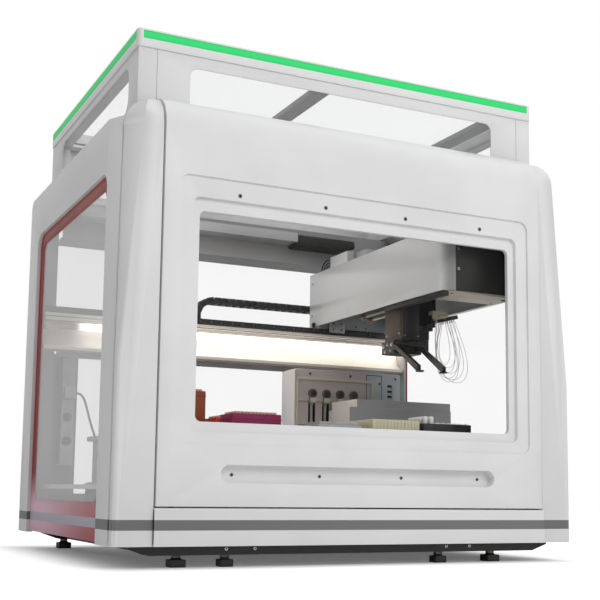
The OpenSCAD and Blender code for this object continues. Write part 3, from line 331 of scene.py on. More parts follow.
# Near black: painted shade in screw sockets, holes and slots, and the real black of seams and the rack.
HOLE_SHADE_AND_BLACK = powder_coat("hole_shade_and_black", srgb(20, 19, 18), 0.7)
BEIGE = moulded("beige_polymer", srgb(200, 190, 168), 0.4, 0.2)
CHAIN = moulded("chain_black", srgb(44, 42, 39), 0.5, 0.1)
DUCT = powder_coat("duct_grey", srgb(176, 177, 177), 0.45)
SEAT = anodised("seat_bead_blasted", srgb(176, 178, 180), 0.5, 0.6, (1, 1, 1))
CHUTE = chute_paint()
PUMP = pump_paint()
GREY_POLYMER = moulded("strip_grey", srgb(176, 176, 176), 0.5, 0.0)
LEAD = moulded("lead_grey", srgb(120, 120, 120), 0.5, 0.0)
LED = lit("light_bar_green", srgb(0, 176, 58), srgb(64, 196, 120), 0.45, RIM_LIGHT_Z)
WORK_LIGHT = lit("work_light_warm", srgb(255, 246, 236), srgb(255, 252, 248), 3.0, WORK_LIGHT_Z,
                 WORK_LIGHT_LEFT)
# Brown trim lines, one of them a painted shadow under the beam.
TRIM_AND_SHADOW_LINE = powder_coat("trim_and_shadow_brown", srgb(158, 136, 118), 0.5)
VALVE = anodised("valve_dark", srgb(74, 68, 62), 0.4, 0.5, (1, 1, 1))
GLASS = clear_pane("syringe_glass", srgb(210, 205, 195), 0.5, 0.1)
TIP_BROWN = moulded("tip_box_brown", srgb(140, 62, 22), 0.45, 0.0)
TIP_MAGENTA = moulded("tip_box_magenta", srgb(138, 14, 76), 0.45, 0.0)
TIP_RED = moulded("tip_box_red", srgb(200, 62, 58), 0.45, 0.0)
TIPS = moulded("tips_beige", srgb(222, 200, 176), 0.4, 0.0)
PLATE = moulded("plate_beige", srgb(212, 206, 176), 0.4, 0.1)
CAPS = moulded("tube_cap_white", srgb(236, 233, 230), 0.35, 0.2)
BRONZE = anodised("bronze", srgb(126, 104, 84), 0.35, 0.7, (1, 1, 1))
BRASS = anodised("pad_brass", srgb(196, 160, 122), 0.35, 0.8, (1, 1, 1))
TUBING = moulded("tubing_milky", srgb(226, 216, 212), 0.25, 0.4)


def dress(finish, *names):
    """Gives CAD nodes one finish."""
    for name in names:
        slots = nodes[name].data.materials
        slots.clear()
        slots.append(finish)


dress(PANEL, "base_rail", "left_pillar", "right_pillar", "left_side_panel", "right_side_panel")
dress(CANOPY, "canopy_walls")
dress(CAP, "roof_cap")
dress(DOOR, "door_shell")
dress(BLACK, "chassis")
dress(FOOT, "levelling_feet")
dress(FRAME, "rear_frame", "roof_beams")
dress(CLEAR, "door_pane")
dress(SIDE, "shield_panes")
dress(REAR, "rear_panes")
dress(CANOPY_CLEAR, "canopy_panes")
dress(TINT, "left_shield", "right_shield")
dress(STEEL, "door_guides", "bridge_rails", "plungers")
dress(DECK, "deck_plate")
dress(IVORY, "gantry_beam")
dress(BRIDGE, "bridge_cover")
dress(NOSE, "bridge_nose")
dress(BLUE, "bridge_carriage", "bridge_beam")
dress(MAST, "gripper_mast")
dress(HEAD, "head_frame")
dress(JET, "pod_carriage", "gripper_column", "gripper_body", "finger_left", "finger_right")
dress(CHAIN, "cable_chain", "chain_tray")
dress(DUCT, "ceiling_duct")
dress(SEAT, "positioners", "door_carriages", "balance_springs", "syringe_pumps")
dress(CHUTE, "waste_chute")
dress(PUMP, "pump_case")
dress(GREY_POLYMER, "power_strip", "lead_plug")
dress(LEAD, "power_lead")
dress(LED, "status_lights")
dress(WORK_LIGHT, "work_light")
dress(TIP_MAGENTA, "tip_boxes")
dress(PLATE, "deep_well_plates")
dress(HOLE_SHADE_AND_BLACK, "tube_rack")
dress(TUBING, "tubing_loops")
dress(JET, *(f"probe_{k}" for k in PROBES))


# ---------------------------------------------------------------- mesh building


def mm(*values):
    return Vector([v * MM for v in values])


def mount(name, data, body, slot_name, *replaces):
    """Makes an object that rides on a body, and stands for the nodes it replaces."""
    piece = bpy.data.objects.new(name, data)
    bpy.context.scene.collection.objects.link(piece)
    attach(piece, body)
    if replaces:
        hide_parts(*replaces)
    return piece


def round_curve(name, finish, radius, rings, order, routes):
    """A smooth round curve along each route; sizes are in millimetres."""
    curve = bpy.data.curves.new(name, "CURVE")
    curve.dimensions = "3D"
    curve.bevel_depth = radius * MM
    curve.bevel_resolution = rings
    curve.resolution_u = 6
    curve.use_fill_caps = True
    for route in routes:
        line = curve.splines.new("NURBS")
        line.points.add(len(route) - 1)
        for point, place in zip(line.points, route):
            point.co = (*mm(*place), 1.0)
        line.order_u = order
        line.use_endpoint_u = True
    curve.materials.append(finish)
    return curve


class Shape:
    """Gathers bmesh parts of one piece; sizes are in millimetres."""

    def __init__(self, *finishes):
        self.bm = bmesh.new()
        self.finishes = finishes

    def _paint(self, verts, slot):
        for face in {f for v in verts for f in v.link_faces}:
            face.material_index = slot

    def box(self, low, high, bevel=0.0, slot=0, segments=2):
        low, high = mm(*low), mm(*high)
        place = Matrix.Translation((low + high) / 2) @ Matrix.Diagonal((*(high - low), 1.0))
        verts = bmesh.ops.create_cube(self.bm, size=1.0, matrix=place)["verts"]
        self._paint(verts, slot)
        if bevel:
            edges = list({e for v in verts for e in v.link_edges})
            bmesh.ops.bevel(self.bm, geom=edges, offset=bevel * MM, offset_type="OFFSET",
                            affect="EDGES", segments=segments, profile=0.5, material=-1,
                            clamp_overlap=True)
        return self

    def rod(self, start, end, radius, slot=0, sides=24, tip=None, bevel=0.0):
        """A round bar from start to end, or a cone where tip gives the end's radius."""
        start, end = mm(*start), mm(*end)
        turn = (end - start).to_track_quat("Z", "Y").to_matrix().to_4x4()
        place = Matrix.Translation((start + end) / 2) @ turn
        made = bmesh.ops.create_cone(self.bm, cap_ends=True, segments=sides, radius1=radius * MM,
                                     radius2=(radius if tip is None else tip) * MM,
                                     depth=(end - start).length, matrix=place)["verts"]
        self._paint(made, slot)
        if bevel:
            rims = [e for e in {e for v in made for e in v.link_edges}
                    if any(len(f.verts) > 4 for f in e.link_faces)]
            bmesh.ops.bevel(self.bm, geom=rims, offset=bevel * MM, offset_type="OFFSET",
                            affect="EDGES", segments=2, profile=0.5, material=-1)
        return self

    def ball(self, centre, radius, slot=0):
        made = bmesh.ops.create_icosphere(self.bm, subdivisions=2, radius=radius * MM,
                                          matrix=Matrix.Translation(mm(*centre)))["verts"]
        self._paint(made, slot)
        return self

    def screw(self, centre, axis, radius, slot=0, hole=1):
        """A low round head with a dark hexagon painted as the shade in its socket."""
        centre, axis = Vector(centre), Vector(axis)
        self.rod(centre - axis * 0.5, centre + axis * 0.7, radius, slot, 20, bevel=0.25)
        self.rod(centre + axis * 0.65, centre + axis * 0.75, radius * 0.55, hole, 6)
        return self

    def done(self, name, body, slot_name, *replaces):
        """Turns the parts into one piece on its body."""
        mesh = bpy.data.meshes.new(name)
        self.bm.to_mesh(mesh)
        self.bm.free()
        for finish in self.finishes:
            mesh.materials.append(finish)
        for polygon in mesh.polygons:
            polygon.use_smooth = True
        mesh.set_sharp_from_angle(angle=math.radians(40.0))
        mount(name, mesh, body, slot_name, *replaces)


# ---------------------------------------------------------------- camera and power lead


EYE_PLACE = (-1.1107, -2.4088, 0.1513)
EYE_YAW, EYE_PITCH, EYE_ROLL = 0.4477, 0.1207, 0.0128
FOCAL_LENGTH, LENS_SHIFT = 64.9, 0.10


def camera():
    """Looks from the front left, a little above the floor, with the sensor shifted up."""
    yaw, pitch, roll = EYE_YAW, EYE_PITCH, EYE_ROLL
    right = Vector((math.cos(yaw), -math.sin(yaw), 0.0))
    ahead = Vector((math.sin(yaw) * math.cos(pitch), math.cos(yaw) * math.cos(pitch), math.sin(pitch)))
    up = right.cross(ahead)
    side = right * math.cos(roll) + up * math.sin(roll)
    top = up * math.cos(roll) - right * math.sin(roll)
    lens = bpy.data.cameras.new("camera")
    lens.sensor_width = 36.0
    lens.lens = FOCAL_LENGTH
    lens.shift_y = LENS_SHIFT
    lens.clip_end = 40.0
    eye = bpy.data.objects.new("camera", lens)
    bpy.context.scene.collection.objects.link(eye)
    turn = Matrix((side, top, -ahead)).transposed().to_4x4()
    eye.matrix_world = Matrix.Translation(EYE_PLACE) @ turn
    bpy.context.scene.camera = eye


# Middle line of the lead, in millimetres, from the plug to the seat
LEAD_ROUTE = [(-426, 362, 396), (-418, 362, 396), (-409, 361.5, 393), (-401, 359, 380),
              (-394, 355, 355), (-384, 350, 315), (-371, 346, 278), (-364, 343, 252),
              (-362, 342, 228), (-361, 341, 203), (-361, 336, 182), (-361, 322, 167),
              (-361, 300, 163.4), (-361, 262, 163.4), (-362, 222, 163.5), (-364, 204, 166.5),
              (-366, 190, 171), (-366.5, 180, 173.8), (-366.5, 170.2, 174)]


def power_lead():
    """The short lead from the strip's plug down to the heated seat."""
    curve = round_curve("power_lead_cable", LEAD, 3, 4, 3, [LEAD_ROUTE])
    piece = mount("power_lead_cable", curve, "frame", "lead_grey", "power_lead")
    tuple(mm(*LEAD_ROUTE[0]))


camera()
power_lead()


# ---------------------------------------------------------------- room


WORLD_FILL = 0.36
FLOOR_GLOW = 0.75
# The glow starts outside this half width and half depth, and is full a little further out; the cut glow
# inside paints a shadow round the cabinet
FLOOR_PAINTED_SHADOW_X, FLOOR_PAINTED_SHADOW_Y = 0.46, 0.36


def surround():
    """White to the camera, to gloss and through glass, and a soft fill to everything else."""
    world = bpy.data.worlds.new("surround")
    bpy.context.scene.world = world
    world.use_nodes = True
    sky = Nodes(world.node_tree)
    sky.tree.nodes.clear()
    camera_ray, glossy_ray, clear_ray = (
        sky.node("ShaderNodeLightPath", out=f"Is {kind} Ray")
        for kind in ("Camera", "Glossy", "Transmission"))
    fill, white = (
        sky.node("ShaderNodeBackground", None, {"Color": (1.0, 1.0, 1.0, 1.0), "Strength": strength})
        for strength in (WORLD_FILL, 1.0))
    seen = camera_ray.top(clear_ray).top(glossy_ray)
    blend = sky.node("ShaderNodeMixShader", None, {0: seen, 1: fill, 2: white})
    sky.node("ShaderNodeOutputWorld", None, {"Surface": blend})


def floor():
    """A pale floor that melts into the surround, keeps the cabinet's cast shadow, and has a painted
    shadow round the cabinet where its glow is cut.
    """
    finish = Finish("floor_white", Roughness=0.9)
    finish.set("Base Color", finish.mottle(srgb(252, 252, 252), 0.004, 1.0))
    plain = Value(finish, finish.shader.outputs[0])
    glow = finish.node("ShaderNodeEmission", None, {"Strength": FLOOR_GLOW})
    glowing = finish.node("ShaderNodeAddShader", None, {0: plain, 1: glow})
    camera_ray = finish.node("ShaderNodeLightPath", out="Is Camera Ray")
    x, y, z = finish.xyz()
    # Less glow near the cabinet: a painted shadow over the cast one.
    past_painted_shadow = (abs(x) - FLOOR_PAINTED_SHADOW_X).top(abs(y) - FLOOR_PAINTED_SHADOW_Y).rise(-0.02, 0.26)
    share = camera_ray * (past_painted_shadow * 0.84 + 0.16)
    blend = finish.node("ShaderNodeMixShader", None, {0: share, 1: plain, 2: glowing})
    finish.tree.links.new(blend.socket, finish.tree.nodes["Material Output"].inputs["Surface"])
    bm = bmesh.new()
    bmesh.ops.create_circle(bm, cap_ends=True, segments=96, radius=9.0)
    mesh = bpy.data.meshes.new("floor")
    bm.to_mesh(mesh)
    bm.free()
    mesh.materials.append(finish.material)
    ground = bpy.data.objects.new("floor", mesh)
    bpy.context.scene.collection.objects.link(ground)


def lamp(name, place, aim, size, power, colour=(1.0, 1.0, 1.0)):
    """A soft rectangular light that the camera and gloss don't show."""
    data = bpy.data.lights.new(name, "AREA")
    data.shape = "RECTANGLE"
    data.size, data.size_y = size
    data.energy = power
    data.color = colour
    light = bpy.data.objects.new(name, data)
    bpy.context.scene.collection.objects.link(light)
    turn = (Vector(aim) - Vector(place)).to_track_quat("-Z", "Y").to_matrix().to_4x4()
    light.matrix_world = Matrix.Translation(place) @ turn
    light.visible_glossy = False
    light.visible_camera = False


bpy.context.scene.view_settings.view_transform = "Standard"
surround()
floor()
lamp("key_light", (0.5, -3.6, 2.4), (0.0, 0.0, 0.5), (2.4, 2.0), 60.0)
lamp("inside_light", (-0.34, 0.16, 0.80), (0.25, 0.06, 0.36), (0.4, 0.3), 1.1, (1.0, 0.985, 0.96))
lamp("top_light", (0.2, -0.4, 3.6), (0.0, 0.0, 0.9), (2.4, 2.4), 26.0)


# ---------------------------------------------------------------- solids with rounded edges


def softened(name, node, body, slot_name, finish, width, segments=2):
    """A node's solid once more, merged and with its edges rounded."""
    bm = bmesh.new()
    bm.from_mesh(nodes[node].data)
    bmesh.ops.remove_doubles(bm, verts=bm.verts, dist=0.00002)
    bmesh.ops.dissolve_limit(bm, angle_limit=math.radians(0.8), verts=bm.verts, edges=bm.edges)
    mesh = bpy.data.meshes.new(name)
    bm.to_mesh(mesh)
    bm.free()
    mesh.materials.append(finish)
    for polygon in mesh.polygons:
        polygon.use_smooth = True
        polygon.material_index = 0
    rounding = mount(name, mesh, body, slot_name, node).modifiers.new("rounding", "BEVEL")
    rounding.width = width * MM
    rounding.segments = segments
    rounding.limit_method = "ANGLE"
    rounding.angle_limit = math.radians(28.0)
    rounding.harden_normals = True


for row in (
    ("door_moulding", "door_shell", "door", "door_white", DOOR, 2.4, 3),
    ("canopy_moulding", "canopy_walls", "frame", "panel_white", CANOPY, 1.5),
    ("cap_moulding", "roof_cap", "frame", "cap_white", CAP, 2.5, 3),
    ("left_column", "left_pillar", "frame", "panel_white", PANEL, 1.2),
    ("right_column", "right_pillar", "frame", "panel_white", PANEL, 1.2),
    ("left_side_skin", "left_side_panel", "frame", "panel_white", PANEL, 1.5),
    ("right_side_skin", "right_side_panel", "frame", "panel_white", PANEL, 1.5),
    ("base_moulding", "base_rail", "frame", "panel_white", PANEL, 1.0),
    ("bridge_skin", "bridge_cover", "bridge", "bridge_grey", BRIDGE, 0.7),
    ("bridge_front_plate", "bridge_nose", "bridge", "nose_black", NOSE, 0.6),
    ("bridge_rear_carriage", "bridge_carriage", "bridge", "carriage_blue", BLUE, 0.6),
    ("beam_profile", "gantry_beam", "frame", "beam_ivory", IVORY, 0.7),
    ("pump_housing", "pump_case", "frame", "pump_beige", PUMP, 1.5),
    ("chute_bin", "waste_chute", "frame", "chute_grey", CHUTE, 0.8),
    ("mast_bar", "gripper_mast", "pod", "mast_brown", MAST, 0.8),
    ("strip_body", "power_strip", "frame", "strip_grey", GREY_POLYMER, 1.6),
    ("left_tinted_border", "left_shield", "frame", "tint_rose", TINT, 0.8),
    ("right_tinted_border", "right_shield", "frame", "tint_rose", TINT, 0.8),
):
    softened(*row)


# ---------------------------------------------------------------- door and outer skin


def door_screws():
    """Four screws above the window and four in the grip groove."""
    shape = Shape(DARK_SCREW, HOLE_SHADE_AND_BLACK)
    for x in (-294, -98, 98, 294):
        shape.screw((x, -417.2, 747), (0, -1, 0), 4.2)
        shape.screw((x, -400.2, 182), (0, -1, 0), 3.6)
    shape.done("door_screws", "door", "rail_steel")


door_screws()


# Middle x and y and half the width of each foot, in millimetres
FEET = [(-292, -367, 14), (212, -367, 14), (-392, -359, 16), (356, -359, 16),
        (-440, 363, 16), (440, 363, 16)]


def chassis_parts():
    """Round screws along the chassis and the block feet that carry it."""
    screws = Shape(CHROME, HOLE_SHADE_AND_BLACK)
    for x in (-296, -234, 222, 283):
        screws.screw((x, -385.2, 36), (0, -1, 0), 3.4)
    screws.done("chassis_screws", "frame", "rail_steel")
    feet = Shape(FOOT, DARK_SCREW)
    for x, y, half in FEET:
        feet.box((x - half, y - half, 0.1), (x + half, y + half, 15), 1.6, 0)
        feet.rod((x, y, 14.5), (x, y, 19), half - 3, 0, 32, tip=7.5, bevel=0.6)
        feet.rod((x, y, 18), (x, y, 24), 9.5, 1, 6, bevel=0.6)
    feet.done("block_feet", "frame", "foot_black", "levelling_feet")


chassis_parts()


def footprint(shape, x, y, w, d, z0, z1, bevel, slot=0, inset=0.0):
    """A bevelled block of w by d round a middle point, drawn in on all four sides."""
    half_w, half_d = w / 2 - inset, d / 2 - inset
    shape.box((x - half_w, y - half_d, z0), (x + half_w, y + half_d, z1), bevel, slot)


def grid(x, y, across, along, pitch_x, pitch_y):
    """Middle points of a grid round x and y."""
    return [(x + (i - (across - 1) / 2) * pitch_x, y + (j - (along - 1) / 2) * pitch_y)
            for i in range(across) for j in range(along)]


def ribbed_body(shape, x, y, w, d, h):
    """Skirt and ribbed body of a plate on its seat."""
    low, high = SEAT_Z + 9, SEAT_Z + h
    footprint(shape, x, y, w, d, SEAT_Z, low, 1.2)
    footprint(shape, x, y, w, d, low - 1, high, 1.6, inset=2)
    columns, rows = int((w - 12) / WELL_PITCH), int((d - 12) / WELL_PITCH)
    out_x, out_y = w / 2 - 2.2, d / 2 - 2.2
    ribs = [(cx, cy + side) for cx, cy in grid(x, y, columns, 1, WELL_PITCH, 0)
            for side in (-out_y, out_y)]
    ribs += [(cx + side, cy) for cx, cy in grid(x, y, 1, rows, 0, WELL_PITCH)
             for side in (-out_x, out_x)]
    for cx, cy in ribs:
        shape.rod((cx, cy, low), (cx, cy, high - 4), 1.5, sides=8)


def tip_boxes():
    """Three tip boxes, each with 96 tips standing in its top plate."""
    shape = Shape(TIP_BROWN, TIPS, TIP_MAGENTA, TIP_RED)
    for x, y, w, d, h, slot in ((-222, 114, LAB_SHORT, LAB_LONG, 118, 0),
                                (-109, -57, LAB_LONG, LAB_SHORT, 57, 2),
                                (-109, 48, LAB_LONG, LAB_SHORT, 53, 3)):
        top = SEAT_Z + h
        footprint(shape, x, y, w, d, SEAT_Z, SEAT_Z + 12, 1.4, slot)
        footprint(shape, x, y, w, d, SEAT_Z + 11, top, 2.0, slot, inset=2)
        footprint(shape, x, y, w, d, top - 14, top - 11, 0.8, slot, inset=1.2)
        across, along = (8, 12) if w < d else (12, 8)
        for cx, cy in grid(x, y, across, along, WELL_PITCH, WELL_PITCH):
            shape.rod((cx, cy, top - 0.2), (cx, cy, top + 5), 3.0, 1, 10, tip=3.6)
    shape.done("tip_box_set", "frame", "tip_mixed", "tip_boxes")


def wells(shape, x, y, w, d, top, across, along, depth):
    """A top plate with a grid of square wells."""
    scale = Matrix.Diagonal((w / 2 * MM, d / 2 * MM, 1, 1))
    made = bmesh.ops.create_grid(shape.bm, x_segments=across, y_segments=along, size=1.0,
                                 matrix=Matrix.Translation(mm(x, y, top)) @ scale)["verts"]
    faces = list({f for v in made for f in v.link_faces})
    bmesh.ops.inset_individual(shape.bm, faces=faces, thickness=1.0 * MM, use_even_offset=True)
    inner = bmesh.ops.extrude_discrete_faces(shape.bm, faces=faces)["faces"]
    bmesh.ops.translate(shape.bm, vec=mm(0, 0, -depth), verts=list({v for f in inner for v in f.verts}))


def plates():
    """Two deep-well plates and the low cooling block."""
    shape = Shape(PLATE, SEAT, HOLE_SHADE_AND_BLACK)
    for x, y in ((147, -257), (147, -160)):
        ribbed_body(shape, x, y, LAB_LONG, LAB_SHORT, 41.6)
        wells(shape, x, y, 118, 78, 315, 12, 8, 12)
        footprint(shape, x, y, 121, 81, 313, 314.6, 0.6)
    x, y, w, d, top = 4, -237, 108, 125, SEAT_Z + 32
    footprint(shape, x, y, w, d, SEAT_Z, top - 6, 2.0, 1)
    footprint(shape, x, y, w, d, top - 7, top, 1.6, 1, inset=5)
    for cx, cy in grid(x, y, 6, 4, 15, 24):
        shape.rod((cx, cy, top - 1), (cx, cy, top + 0.2), 5, 2, 18)
    shape.done("plate_set", "frame", "plate_beige", "deep_well_plates")


def tubes():
    """The black rack with its capped sample tubes in the two left columns."""
    shape = Shape(JET, CAPS)
    x, y, w, d = 285, -257, 135, LAB_SHORT
    footprint(shape, x, y, w, d, SEAT_Z, SEAT_Z + 10, 1.5)
    footprint(shape, x, y, w, d, SEAT_Z + 9, SEAT_Z + 38, 1.5, inset=2)
    for i in range(8):
        for j in range(5):
            cx, cy = x - w / 2 + 11.5 + i * 16, y - d / 2 + 10.7 + j * 16
            if i < 2:
                shape.rod((cx, cy, 300), (cx, cy, 313.5), 5.0, 1, 20)
                shape.rod((cx, cy, 313), (cx, cy, 325.8), 5.8, 1, 20, bevel=0.9)
                shape.rod((cx, cy, 325.7), (cx, cy, 326.4), 4.0, 1, 16)
            else:
                shape.rod((cx, cy, 300), (cx, cy, 312.6), 4.4, 1, 16, bevel=0.6)
    shape.done("tube_set", "frame", "rack_black", "tube_rack")


tip_boxes()
plates()
tubes()


# ---------------------------------------------------------------- pump module and chute


def pump_trim():
    """Rim, screws, seams and slots on the pump module's front."""
    shape = Shape(BEIGE, DARK_SCREW, HOLE_SHADE_AND_BLACK)
    y = PUMP_FRONT
    shape.box((132, y - 3, 449), (367, y + 1, 456), 1.4, 0)
    shape.box((361, y - 3, 404), (367, y + 1, 455), 1.4, 0)
    shape.box((132, y - 3, 250), (137, y + 1, 455), 1.4, 0)
    for i in range(9):
        shape.rod((146 + i * 26, y - 3.4, 452.5), (146 + i * 26, y - 2.6, 452.5), 1.5, 0, 12)
    for x, z in ((173, 467), (297, 467), (440, 467), (389, 451), (180, 392)):
        shape.screw((x, y - 0.2, z), (0, -1, 0), 4.0, 1, 2)
    for x in (347, 395):
        shape.box((x - 0.8, y - 0.4, 250), (x + 0.8, y + 0.5, 473), 0, 2)
    shape.box((347, y - 0.4, 472), (395, y + 0.5, 473.6), 0, 2)
    for z in (446, 431, 417):
        shape.box((414, y - 0.8, z - 3.2), (428, y + 0.5, z + 3.2), 0.6, 2)
    shape.done("pump_front_trim", "frame", "pump_beige")


# Discs of a valve in millimetres: front, back, radius, finish, sides and bevel
VALVE_DISCS = ((196.0, 200.5, 13, 0, 40, 0.8), (195.6, 196.2, 12, 3, 36, 0),
               (194.2, 196.4, 11.2, 0, 32, 0.6), (193.2, 194.6, 6.5, 1, 6, 0))


def valves():
    """Four round valves over glass syringes, with a ring of screws and dark channels behind."""
    shape = Shape(VALVE, HOLE_SHADE_AND_BLACK, GLASS, BEIGE, SEAT)
    z = VALVE_Z
    for x in VALVES_X:
        for front, back, radius, slot, sides, bevel in VALVE_DISCS:
            shape.rod((x, back, z), (x, front, z), radius, slot, sides, bevel=bevel)
        for k in range(12):
            turn = math.radians(30 * k)
            px, pz = x + 9 * math.cos(turn), z + 9 * math.sin(turn)
            shape.rod((px, 194.8, pz), (px, 193.4, pz), 1.3, 0, 8)
        shape.box((x - 8, 193, 388), (x + 8, 220, 402), 1.0, 3)
        shape.rod((x, 208, 338), (x, 208, 389), 4.3, 2, 20)
        shape.rod((x, 208, 384), (x, 208, 389.5), 5.4, 4, 20, bevel=0.5)
        shape.rod((x, 208, 336.6), (x, 208, 341), 5.2, 4, 20, bevel=0.5)
        shape.box((x - 9.9, 231, 250), (x + 9.9, 233.9, 401), 0.4, 1)
        for wall in (x - 9.6, x + 9.6):
            shape.box((wall - 0.3, 204, 250), (wall + 0.3, 233, 401), 0, 1)
    shape.done("valve_set", "frame", "valve_metal", "syringe_pumps")


pump_trim()
valves()


# ---------------------------------------------------------------- bridge and head


def bridge_parts():
    """Screws, floor plates, black side strip and knob of the bridge cover."""
    shape = Shape(CHROME, HOLE_SHADE_AND_BLACK, BEIGE, BLACK)
    for z in (648, 742):
        shape.screw((244.9, 338, z), (-1, 0, 0), 4.2, 0, 1)
    for z in (669, 716):
        shape.screw((286.5, -344.2, z), (0, -1, 0), 3.4, 0, 1)
    shape.box((262, -334, 614.2), (462, -236, 617.2), 0.8, 2)
    for x, y in ((282, -322), (446, -322), (282, -246), (446, -246)):
        shape.rod((x, y, 613.6), (x, y, 614.4), 3.6, 1, 16)
    shape.rod((446, -300, 613.4), (446, -300, 614.4), 8.0, 1, 24)
    shape.box((249, -334, 605), (266, -64, 617.2), 1.0, 3)
    shape.rod((245.2, 322, 622), (239.5, 322, 622), 7.0, 3, 28, bevel=1.4)
    shape.rod((239.6, 322, 622), (238.6, 322, 622), 4.6, 1, 24, bevel=0.4)
    shape.done("bridge_fittings", "bridge", "bridge_grey")


def cover_bracket():
    """Folded bracket and looped leads on top of the cover's rear half."""
    shape = Shape(CAP, DUCT, CHAIN)
    shape.box((259, 154, 769.5), (261.5, 254, 806), 0.6, 0)
    shape.box((259, 151.5, 769.5), (278, 154, 806), 0.6, 1)
    shape.box((286, 96, 769.5), (318, 148, 803), 1.2, 1)
    for sway, reach, top in ((0, 36, 34), (4, 30, 26), (8, 24, 20)):
        steps = [math.pi * k / 12 for k in range(13)]
        arc = [(264 + sway, 318 - sway - reach * (1 - math.cos(a)), 770 + top * math.sin(a))
               for a in steps]
        for start, end in zip(arc, arc[1:]):
            shape.rod(start, end, 1.6, 2, 10)
        for joint in arc[1:-1]:
            shape.ball(joint, 1.6, 2)
    shape.done("cover_bracket", "bridge", "panel_white")


def carriage_details():
    """Bearing block, holes and dark rail blocks on the rear carriage plate."""
    shape = Shape(SEAT, HOLE_SHADE_AND_BLACK, BLACK)
    shape.box((274, 281, 599), (322, 288.4, 632), 1.2, 0)
    for x, z in ((285, 624), (310, 624), (285, 607), (310, 607)):
        shape.screw((x, 280.8, z), (0, -1, 0), 2.4, 1, 1)
    for x, z in ((361, 621), (393, 618)):
        shape.rod((x, 288.2, z), (x, 287.6, z), 2.6, 1, 16)
    for x0, x1 in ((326, 392), (400, 452)):
        shape.box((x0, 283, 596.4), (x1, 288.4, 609), 1.0, 2)
    shape.done("carriage_details", "bridge", "carriage_blue")


def pod_pipes():
    """Two bronze pipes with collars at the rear of the mast."""
    shape = Shape(BEIGE, BRONZE)
    for x, z, end in ((294.5, 620, 128), (304.5, 609.5, 110)):
        shape.rod((x, -2, z), (x, end - 8, z), 3.2, 0, 20)
        shape.rod((x, end - 20, z), (x, end - 11, z), 6.2, 1, 24, bevel=1.6)
        shape.rod((x, end - 12, z), (x, end, z), 7.6, 1, 28, bevel=2.4)
    shape.done("pod_pipes", "pod", "mast_brown")


def head_parts():
    """Side plate, stepped front cover and screws of the moving head."""
    shape = Shape(JET, MAST, CHROME, HOLE_SHADE_AND_BLACK)
    shape.box((289, -80, 545), (290.4, -3, 700), 0.6, 1)
    for y, z in ((-72, 552), (-12, 552), (-72, 640)):
        shape.screw((289.1, y, z), (-1, 0, 0), 3.0, 2, 3)
    shape.box((289.6, -89, 538), (339.4, -85, 757), 0.8, 0)
    shape.box((296, -91, 560), (333, -88.5, 735), 0.8, 0)
    for z in (545, 748):
        for x in (295, 334):
            shape.screw((x, -89.2, z), (0, -1, 0), 2.2, 2, 3)
    shape.done("head_covers", "pod", "mast_brown")


def tilted(shape, centre, size, angle, bevel, slot):
    """A bevelled block turned about Y."""
    half = Vector(size) / 2
    before = set(shape.bm.verts)
    shape.box(-half, half, bevel, slot)
    fresh = [v for v in shape.bm.verts if v not in before]
    turn = Matrix.Translation(mm(*centre)) @ Matrix.Rotation(math.radians(angle), 4, "Y")
    bmesh.ops.transform(shape.bm, matrix=turn, verts=fresh)


def manifold():
    """The tilted wash manifold over its black base."""
    shape = Shape(BEIGE, JET, BRASS, CHROME, HOLE_SHADE_AND_BLACK)
    y = MANIFOLD_Y
    for x, z, size, bevel, slot in ((396, 599, (34, 20.6, 13), 1.4, 0),
                                    (390, 605.5, (16, 15, 6), 1.0, 0),
                                    (414, 594, (60, 20, 10), 1.2, 1)):
        tilted(shape, (x, y, z), size, MANIFOLD_TILT, bevel, slot)
    shape.box((363, y - 6, 576), (372, y + 14, 600), 1.0, 1)
    for i in range(8):
        x = 392 + 6.4 * i
        z = 587.5 + (x - 414) * 0.25
        shape.rod((x, y, z - 5), (x, y, z + 2), 1.3, 2, 12)
    for x, z in ((386, 598), (404, 602)):
        shape.screw((x, -108.6, z), (0, -1, 0), 2.0, 3, 4)
    shape.done("manifold_cover", "pod", "seat_grey")


# How each tube hangs, in millimetres: start along the manifold, reach to the sides, drop and sway
TUBE_HABITS = ((0, 30, 156, 30), (5, 22, 132, 12), (9, 30, 148, 20), (14, 17, 118, 6),
               (18, 27, 154, 10), (23, 23, 130, 4), (27, 30, 144, 8), (31, 15, 108, 0))
TUBE_STEPS = 14


def tubing():
    """Eight soft tubes that hang in loops from the manifold."""
    routes = []
    for i, (start, reach, drop, sway) in enumerate(TUBE_HABITS):
        x0, x1, y = 376 + start, 436 - start * 0.7, -106 + 2 * i
        route = [(x0, y, 590)]
        for k in range(TUBE_STEPS + 1):
            t = k / TUBE_STEPS
            hang = math.sin(math.pi * t)
            side = sway * hang - reach * math.sin(2 * math.pi * t)
            route.append((x0 + (x1 - x0) * t + side, y - 4 * hang, 585 - drop * hang))
        routes.append(route + [(x1, y, 590)])
    curve = round_curve("tubing_hang", TUBING, 0.6, 2, 4, routes)
    mount("tubing_hang", curve, "pod", "tubing_clear", "tubing_loops")


def gripper_parts():
    """Drive screws at the gripper's left end and cover screws on its front."""
    shape = Shape(CHROME, HOLE_SHADE_AND_BLACK, JET, DARK_SCREW)
    for y, z, r in ((-62, 523, 5.2), (-42, 525, 4.0), (-22, 521, 5.0), (-56, 508, 3.6),
                    (-30, 507, 4.4)):
        shape.rod((275, y, z), (271.8, y, z), r, 0, 24, bevel=0.6)
        shape.rod((272, y, z), (271.5, y, z), r * 0.5, 1, 6)
    shape.box((276, -72.4, 523), (353, -70.6, 532), 0.6, 2)
    for x in (281, 348):
        shape.screw((x, -72.4, 527.5), (0, -1, 0), 2.2, 3, 1)
    shape.done("gripper_screws", "gripper", "gripper_black")


